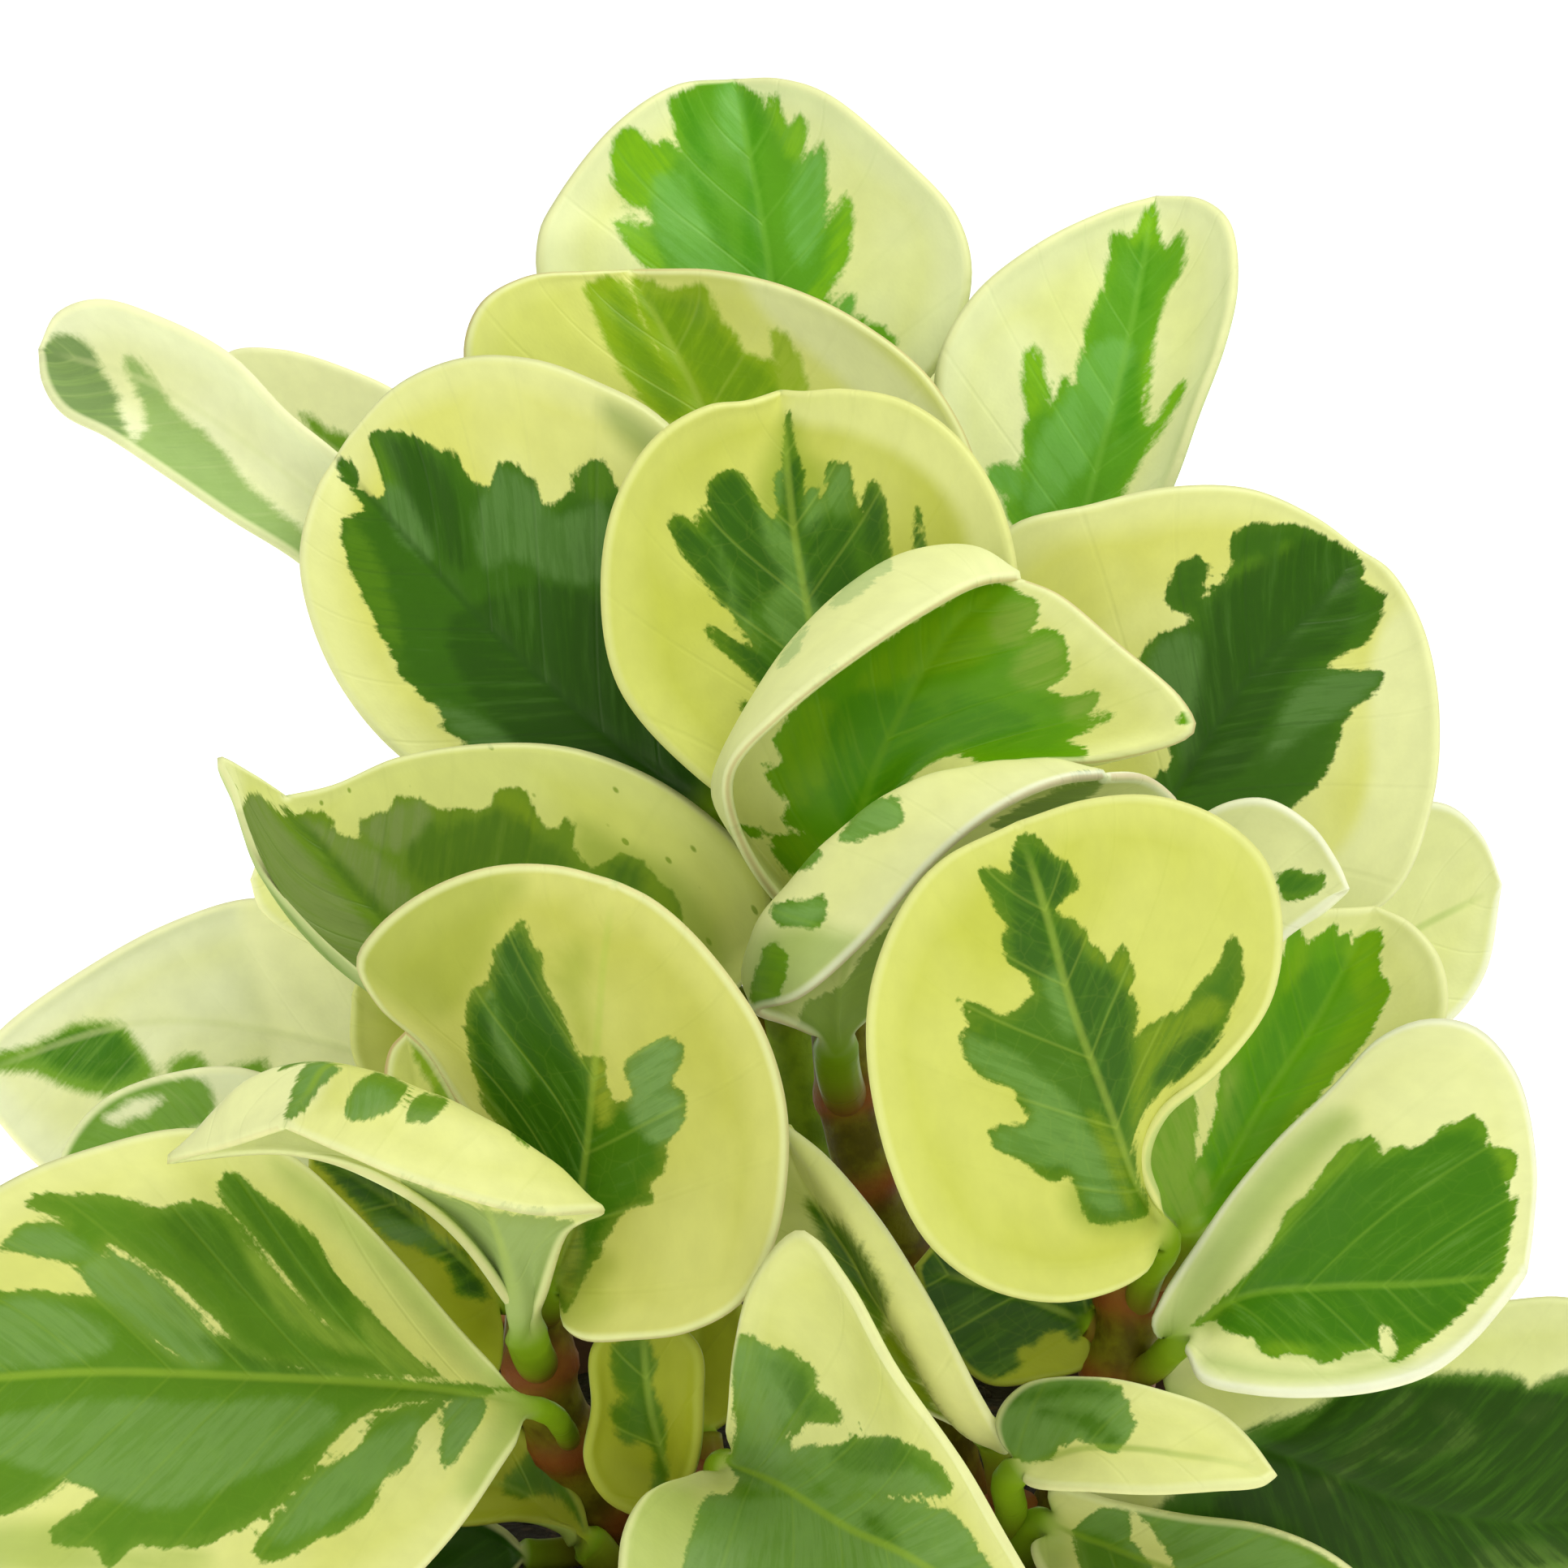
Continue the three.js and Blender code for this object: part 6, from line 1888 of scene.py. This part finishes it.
    "leaf_right_spoon": Dress(Tint.PALE, green="""
    147,163.4 151,160 155,156 157.5,152.5 158.5,149.5 161,147.5 163.5,144.5 165.5,141.5 168,140.4
    169.5,139.9 170.2,142.4 171.5,141.2 173.5,141.2 174,142.6 176,141 178,138.8 180,138.2 181.5,137.2
    182.8,138.4 183.4,140 182.8,141.4 184,141.4 186.2,141.8 187,143 186.3,145.5 184.9,146 184.6,147.2
    186,147.8 187.2,147 186.8,150 186,153.5 185.2,157 182,160.5 178,164 173,167.8 170.6,168 169.5,166.4
    166.5,167 163.5,168.4 161.5,167.4 160,166.8 157.5,167.6 155.5,167 154.2,164.5 153,162.2 150,163""",
        dark="""
    150,163.4 158,153 165,145 172,142.4 181,139.6 186,147 184,157 176,165 166,165.6 158,165.6""", faint="""
    147,163.4 150.6,160 154.6,156 157.2,152.5 158.2,149.5 160.7,147.4 163.2,144.4 165.2,141.4 168,140.3
    172,145 160,158 152,164 /155,166 166,166 170,167.6 162,168.2 /141,167.6 145,158 151,149 157,142
    164,136.6 167.4,138.6 160.6,146 155.4,152.6 150,160.6 145.6,167 /150,167.4 158,169 166,169 173,166.8
    173,168.4 165,170.2 156,170.2 149,168.8""", lime="""
    158.5,149.8 161,147.6 165,142 167.5,141.2 165.5,144.5 161,149.5 157,154 /147,163.6 153,158.6 156,156.6
    153,161.4 /184,141.6 187,143 186,145.6 183.6,144.4 /156,166.6 158,164.6 162,166.6 158,167.4""",
        bare="169.8,163.8 171,163.8 172.4,166.2 171.5,167.6 170.4,167.2", pale="""
    146,168 150,170.6 156,171.6 164,171.4 172,169.8 179,166.8 184.8,162.4 189,156.8 191,157 187,165
    179,171 170,174 158,174 149,173 145,170"""),
    "leaf_left_back_pale": Dress(Tint.WASHED, green="""
    -2,130 1,129.4 4,128.8 7,127.4 9,126 12,125.8 14.5,126 16.5,127.6 18,130 19.3,132.4 16,134.4 12,135
    8,134 4,132.3 -2,132 /20.8,131.5 22.5,130 24.5,130 26,131.5 24.5,133 21.5,133.4 /27,132.4 30,131
    33,130.8 32,134 28,134""", dark="5,129.6 9,127 14,126.8 17,130.6 14,133 8,132",
        # Painted light: the pale patch lightens the blade's right part, where the leaves above shade it.
        pale="30,108 50,108 62,122 60,150 30,152 34,130"),
    "leaf_left_grey": Dress(Tint.WASHED, green="""
    10,139.5 12,136.6 15,134.8 18,134 22,133.6 24.3,134.6 24.8,137 22,138.2 18,139 14,140.4 10,142.4
    6.5,144 9,141.2""", grey="6,145 11,136.6 18,133 25,133 26,138 18,140.4 10,143.6",
        bare="13,137.6 17,135.4 20,135.2 19,136.6 15,138.4"),
    # The first faint outline is painted shade along the blade's upper right edge, below the leaves over it.
    "leaf_left_near": Dress(Tint.OLIVE, green="""
    3,147.8 6,147.2 12,147.2 17,148 18.4,149 24,147.8 28,149.5 30,153 33,157 36,160.5 41,164 46,166.5
    54,169.8 40,169.2 30,167 27,163.4 24,160.8 22,158.5 19,156.5 16,154.8 13,153.4 12,155.4 10.5,156.4
    6,155 0,154.6 -8,156 -8,154 0,153.5 1.5,151.6 4,150.6 8,150.8 6,149.8 3.5,149 /26.3,146 27,145.2
    28.3,144.2 30,145.4 33,148 36.5,150.5 39,153 41,157 44,160 47,163 50,166.5 53,169.8 48,168.8 42,165
    37,160 31,152.5 27.5,149 /-8,160 0,159.4 4,159 10,159.6 14,160.5 18,164 22,167 25.6,167.4 23,163
    25,163.4 29,165.8 36,168.4 45,169.6 52,170.2 60,171 64,171.2 58,172.4 50,173.2 45,174.5 41,178
    38,181.5 33.5,186 30,188.3 26,190 22,190.8 17,190.6 13.4,193.4 11.6,190.4 8.5,190.8 5.6,190.2 7,187.6
    11,185.4 16,182.2 13,181.8 10,180.6 7,183.4 3,186 -2,187.2 -8,187 /30.8,191.5 32.5,188.5 34.6,186.6
    37,183 41,180.2 44,178.2 46,174.5 50,173.2 54.3,172.6 51.8,176 51.2,178 50,180.5 47.5,182 45.5,186
    42.5,188.5 39,190 35,192.3 31.8,192.6 /55,173.5 58.5,172.2 59,175 57,178.5 54.5,181 54,178""", faint="""
    33,142.6 40,146 47,152 54,160 60,167 65,171 65,179 61,185 56,184 60,176 59,171 52,164 44,155 36,147
    /-2,188 10,187.4 12,190 24,190.6 24,194 -2,194""", dark="""
    27,146.4 28.3,144.8 33,148.6 39,154 43,160.5 38,159.6 31,151.8 /20,150 26,149.6 30,156 33,161 26,157
    /25,164.4 33,167.8 41,169.2 33,169.4 27,167""", grey="""
    -8,176 4,174 12,172.5 25,173 38,172.5 41,176 30,182 20,186 10,183 4,181 /37,184 44,178.5 51,174 50,180
    45,184 38,189 33,190 /0,160.6 8,161 14,165 8,168 -6,168 /13,154.4 17,156 24,161.4 27,167.6 22,167.6
    17,163.6 13,160.4 10,157 /2,152 6,151.4 11,153.8 8,155 0,154 /55,173.5 59,172.2 59.4,175 57,179
    54.5,181.4""", lime="""
    13,155 18,157.4 24,162 26,166 18,161.6 11,157.4 /30,153.6 34,157 40,163 46,166.6 40,166 33,160 /44,162
    50,166.5 54,170 47,168.4""", petiole_radius=1.5),
    "leaf_left_horn": Dress(Tint.OLIVE, green="""
    34.3,131 35.5,129.8 37.5,130 38,131.2 36,132 34.8,132.4 /38,131.2 42,132.2 39.5,134.5 37.5,137.5
    35.4,138.4 36.4,134.6 /42.2,137.4 43.2,135 45,133.2 48,133 50,134.4 48.5,136.8 46,138.2 43.5,138.4
    /50,138.2 50.5,136 52.5,135 55.4,136.4 53.5,137.6 52.5,138.5 50.5,138.6 /62.6,139.2 64.8,140.8
    64.4,141.6 63,140.6 /49,145 54,146.8 62,149 71,150.2 69.6,153 68,158 66.5,168 62,170 58,160 53,151""",
        grey="""
    38,131.2 42,132.2 39.5,134.5 36,138.2 /43,137.2 44.6,134.6 48,134.8 47,137.2 /51,147 62,150 70,151
    67,156 65,166 60,158 55,151 /42.2,137.4 46,136.4 46,138.2 43.5,138.4""", lime="""
    49.4,145.6 52.4,148.6 57,155 61.4,164 63.6,170 60,169 56,159 51.6,150 /59,160 66,158 67,170 60,170""",
        # Painted light: the pale patch lightens the lower lip, which lies in shade.
        pale="18,140 24,136 32,130 38,128 40,134 36,139 42,142 52,146.4 50,148 40,146 20,145.6",
        brown_rim=0.2, petiole_radius=2.6),
    "sprout_left": Dress(Tint.SUNLIT, green="""
    50.6,127 51.8,128.8 54.2,132.2 57,136.6 59,139.4 57.4,140 55.4,137.4 53,133.4 51,129.6""",
        dark="54.2,134 55.8,135.4 58,139 56.6,139", brown_rim=0.8),
    "leaf_left_shaded": Dress(Tint.SHADED, green="""
    38.6,143 42,142.4 46,143.6 50,147.5 54,152.5 57,154 60,160 56,159.4 54.6,156 50,153.4 46.5,151.6
    43,147.5 40,144.6""", dark="""
    39,143 43,142.8 47,145.4 51,150 46,149 42,146 /54.6,153.6 57,155.4 59.6,159.8 56.6,158.6""",
        grey="46,150.4 52,151 55,153.4 50,153.6"),
    "leaf_front_small_cup": Dress(Tint.SHADED, green="""
    75.5,165 79.5,164.6 81,168 80.4,170.5 82,175 81.8,186 80,186 80.2,178.6 78.8,177.4 76.8,177.6
    75.2,175.4 75,173 76.8,172.4 75.4,170.4 75,168"""),
    "leaf_middle_olive": Dress(Tint.SHADED, dark="82.5,165.5 84,166 86,169 86.8,171.6 85.2,170.8"),
    "leaf_front_low": Dress(Tint.OLIVE, green="""
    91,164.5 92.5,164 93.5,163.8 94.4,165.4 96,166 97.5,165.2 98.2,166.6 99.6,167 100.6,168.5 101.4,169.4
    101,171.2 102,172 103.2,172.4 104,174.2 106,174.8 104,175.2 101,175.2 99,175.4 99.2,176.4 97.6,177
    98.4,179 100.5,180 103,178.3 106,177 109.5,176.7 113,178 116,180 118,183.8 115.5,184.4 113,182.8
    109,184.8 106,185.2 110,188 111,190.4 113.5,190.6 115,193.5 122,205 86.5,206 86.4,196 86.4,190
    86.5,187 87,185 90,184.5 91.4,180 90.6,172""", dark="""
    103,178.6 106,177.4 109.5,177 112.4,178 112,181 108,181.6 104,181 /107,186.6 110,188 111,190.4
    108,189.6 /95.4,168 98,168 101,172 99,174""", grey="""
    100,184 109,184.8 115,185.4 120,189 124,206 86,206 86,186 92,185.4 /92,174 98,179 101,184 91,183
    /98,179 104,178 111,180 117,184 108,184 103,184.4 /91,165 96,166 99,172 95,177 91,172""",
        lime="91,165 93.4,164.4 94,170 96.6,176 93,178 91,172",
        faint="77,184 84,183 87,187 86,197 79,200 75,192"),
    "leaf_front_narrow": Dress(Tint.RIBBON, green="""
    99.4,147.6 101.5,148.5 105,151.5 108,156 109.6,160 109,164.4 106,160 103,155.5 101,151.5 /109,166
    110,163.5 113,169 116,173.5 118,176 123,180.6 118,179.5 113.5,174""",
        dark="100.6,148.6 104,151.6 107.4,156 109,161 106.6,159 103.4,154.4",
        lime="109,166 110.4,163.5 113.4,169 117,175.4 114,174", faint="""
    92,140 96,139 98.6,143.4 102.8,149 107,156.4 109.6,161.4 113.4,168 117.4,175 121,180.6 112,180 104,170
    92,156"""),
    "leaf_front_level": Dress(Tint.OLIVE, green="""
    121,174.4 124.5,171.4 128,170 132,169.6 136,170.3 138.2,171.6 137.8,173 139.8,175 139.4,176.6
    137.6,179.2 135,178.6 133.4,176.8 131.6,177.4 130,179.8 127,180.2 124.6,179 122,177""", dark="""
    122.6,173.6 126,171.6 133,170.6 137,172 131,172.4 /128,174 134,174.4 138,177.4 136,178.4 133,176""",
        grey="""
    121,174 124.5,171 132,169.6 138,172 139.8,176 137,179.4 133,177.6 127,180.4 122,178"""),
    "leaf_middle_shaded": Dress(Tint.SHADED, dark="""
    108,150 136,150 135,160 132.6,165.2 130.6,164 128.6,164.4 127.4,166 125.6,166.2 125.2,169 118,171
    108,171"""),
    "leaf_right_low_dark": Dress(Tint.SHADED_EDGE, green="""
    149,180 153,176.6 157,175 162,173.4 165,170.8 170,169.4 178,169.3 185.5,169.2 187.5,170.2 188.4,170.8
    191,169.6 198,169.2 215,175 205,205 148,205 138,192""",
        dark="154,180 160,176 168,171 186,171 200,175 200,192 150,192", lime="""
    169.5,178.5 173,178.8 176.5,178 180,175.6 182.3,176.2 181,178.4 177,179.4 173,180 170,180 /176.5,174
    178,173.2 180,174.4 178,175.4 /187,174.4 191.5,172.8 189,175.2 /161,184 165,180 169,175.6 172.6,171.6
    174.4,172.6 170.6,177 167,181 163,184.6 /182,191 187,190 192,190.6 194,194 182,194"""),
    "leaf_right_low_front": Dress(Tint.OLIVE, faint="122,188.6 131.6,189 132,194 136,201 122,202", green="""
    133,194 132.4,189.6 133.6,187.4 136.4,185.6 140,186 150,186.8 160,190 170,197 172,205 140,205 136,198""",
        bare="139.4,186 141,187 144.8,193.4 142.8,193.8 139.6,189.6", grey="""
    133.4,188.4 134.6,186.6 137,185.4 142,188 150,193 160,200 150,202 142,194 137,189.6 /140,186.6
    150,187.4 158,190 166,196 172,206 160,204 150,196 142,190"""),
    "leaf_low_strap": Dress(Tint.SHADED,
        green="61.5,183 64,180 67,177 70,182 73,190 71,187 68,184 64,184.6", petiole_radius=2.6),
    "leaf_low_dark": Dress(Tint.DEEP, green="45,184 70,184 70,197 45,197",
        dark="54,188 64,189 64,194 54,194"),
    "leaf_left_sliver": Dress(Tint.RIBBON),
    "leaf_left_olive": Dress(Tint.LIME),
}


STEMS = [
    Stem("stem_centre", 3.8, drawn=[(118, 188, -38), (112, 156, -22), (107, 145, -15), (104.5, 135, -12),
                                    (103, 118, -10), (101, 98, -10), (98.7, 73, -13)]),
    Stem("stem_left", 4.2, drawn=[(80, 195, -28), (74, 186, -18), (69.5, 177, -9), (66.5, 168, -3),
                                  (67, 154, -4), (68, 138, -7), (68, 120, -10), (66, 104, -14),
                                  (64, 92, -18)]),
    Stem("stem_right", 4.2, drawn=[(128, 196, -25), (134, 180, -12), (137.8, 169, -4), (139.5, 160, -1),
                                   (138.5, 149, -3), (135, 134, -5), (132, 118, -9), (130, 94, -15)]),
    Stem("stem_front_right", 3.2, drawn=[(125, 199, -14), (124.6, 190, -6), (124, 185, -3)]),
    Stem("stem_front_left", 3.2, drawn=[(86, 198, -15), (87.5, 188, -8), (88.5, 181, -4)]),
    Stem("stem_back", 3.2, world=[(6, 30, 100), (4, 38, 130), (0, 44, 160), (-2, 46, 188), (-3, 46, 209)]),
]


@dataclass
class Plant:
    """The whole plant: its stems, the leaves of the front view and the leaves behind them."""

    stems: list[Stem]
    leaves: list[Leaf]
    rear: list[RearLeaf]
    rear_tints: tuple[Tint, ...] = (Tint.LIME, Tint.OLIVE, Tint.DEEP, Tint.BRIGHT)
    first_seed: int = 31

    def build(self) -> None:
        """Builds and dresses every stem and leaf."""
        for stem in self.stems:
            stem.build(YOUNG_STEM if stem.name == "stem_back" else StemFinish())
        for leaf in self.leaves:
            dress = DRESSES[leaf.name]
            Blade(leaf.name, leaf.lines(), dress.tint, dress.patches(), brown_rim=dress.brown_rim,
                  petiole_radius=dress.petiole_radius).build()
        for n, leaf in enumerate(self.rear):
            draw = random.Random(self.first_seed + n)
            tint = self.rear_tints[n % len(self.rear_tints)]
            Blade(leaf.name, leaf.lines(), tint, leaf.patches(draw), flat_chart=True,
                  blade_rings=40, half_steps=16).build()


def main() -> None:
    """Builds the pot, the soil, the plant and the studio."""
    logging.basicConfig(level=logging.INFO, format="%(message)s")
    Pot().build(ClayFinish())
    Soil().build(SoilFinish())
    Plant(STEMS, LEAVES, REAR_LEAVES).build()
    Studio().build()


if __name__ == "__main__":
    main()
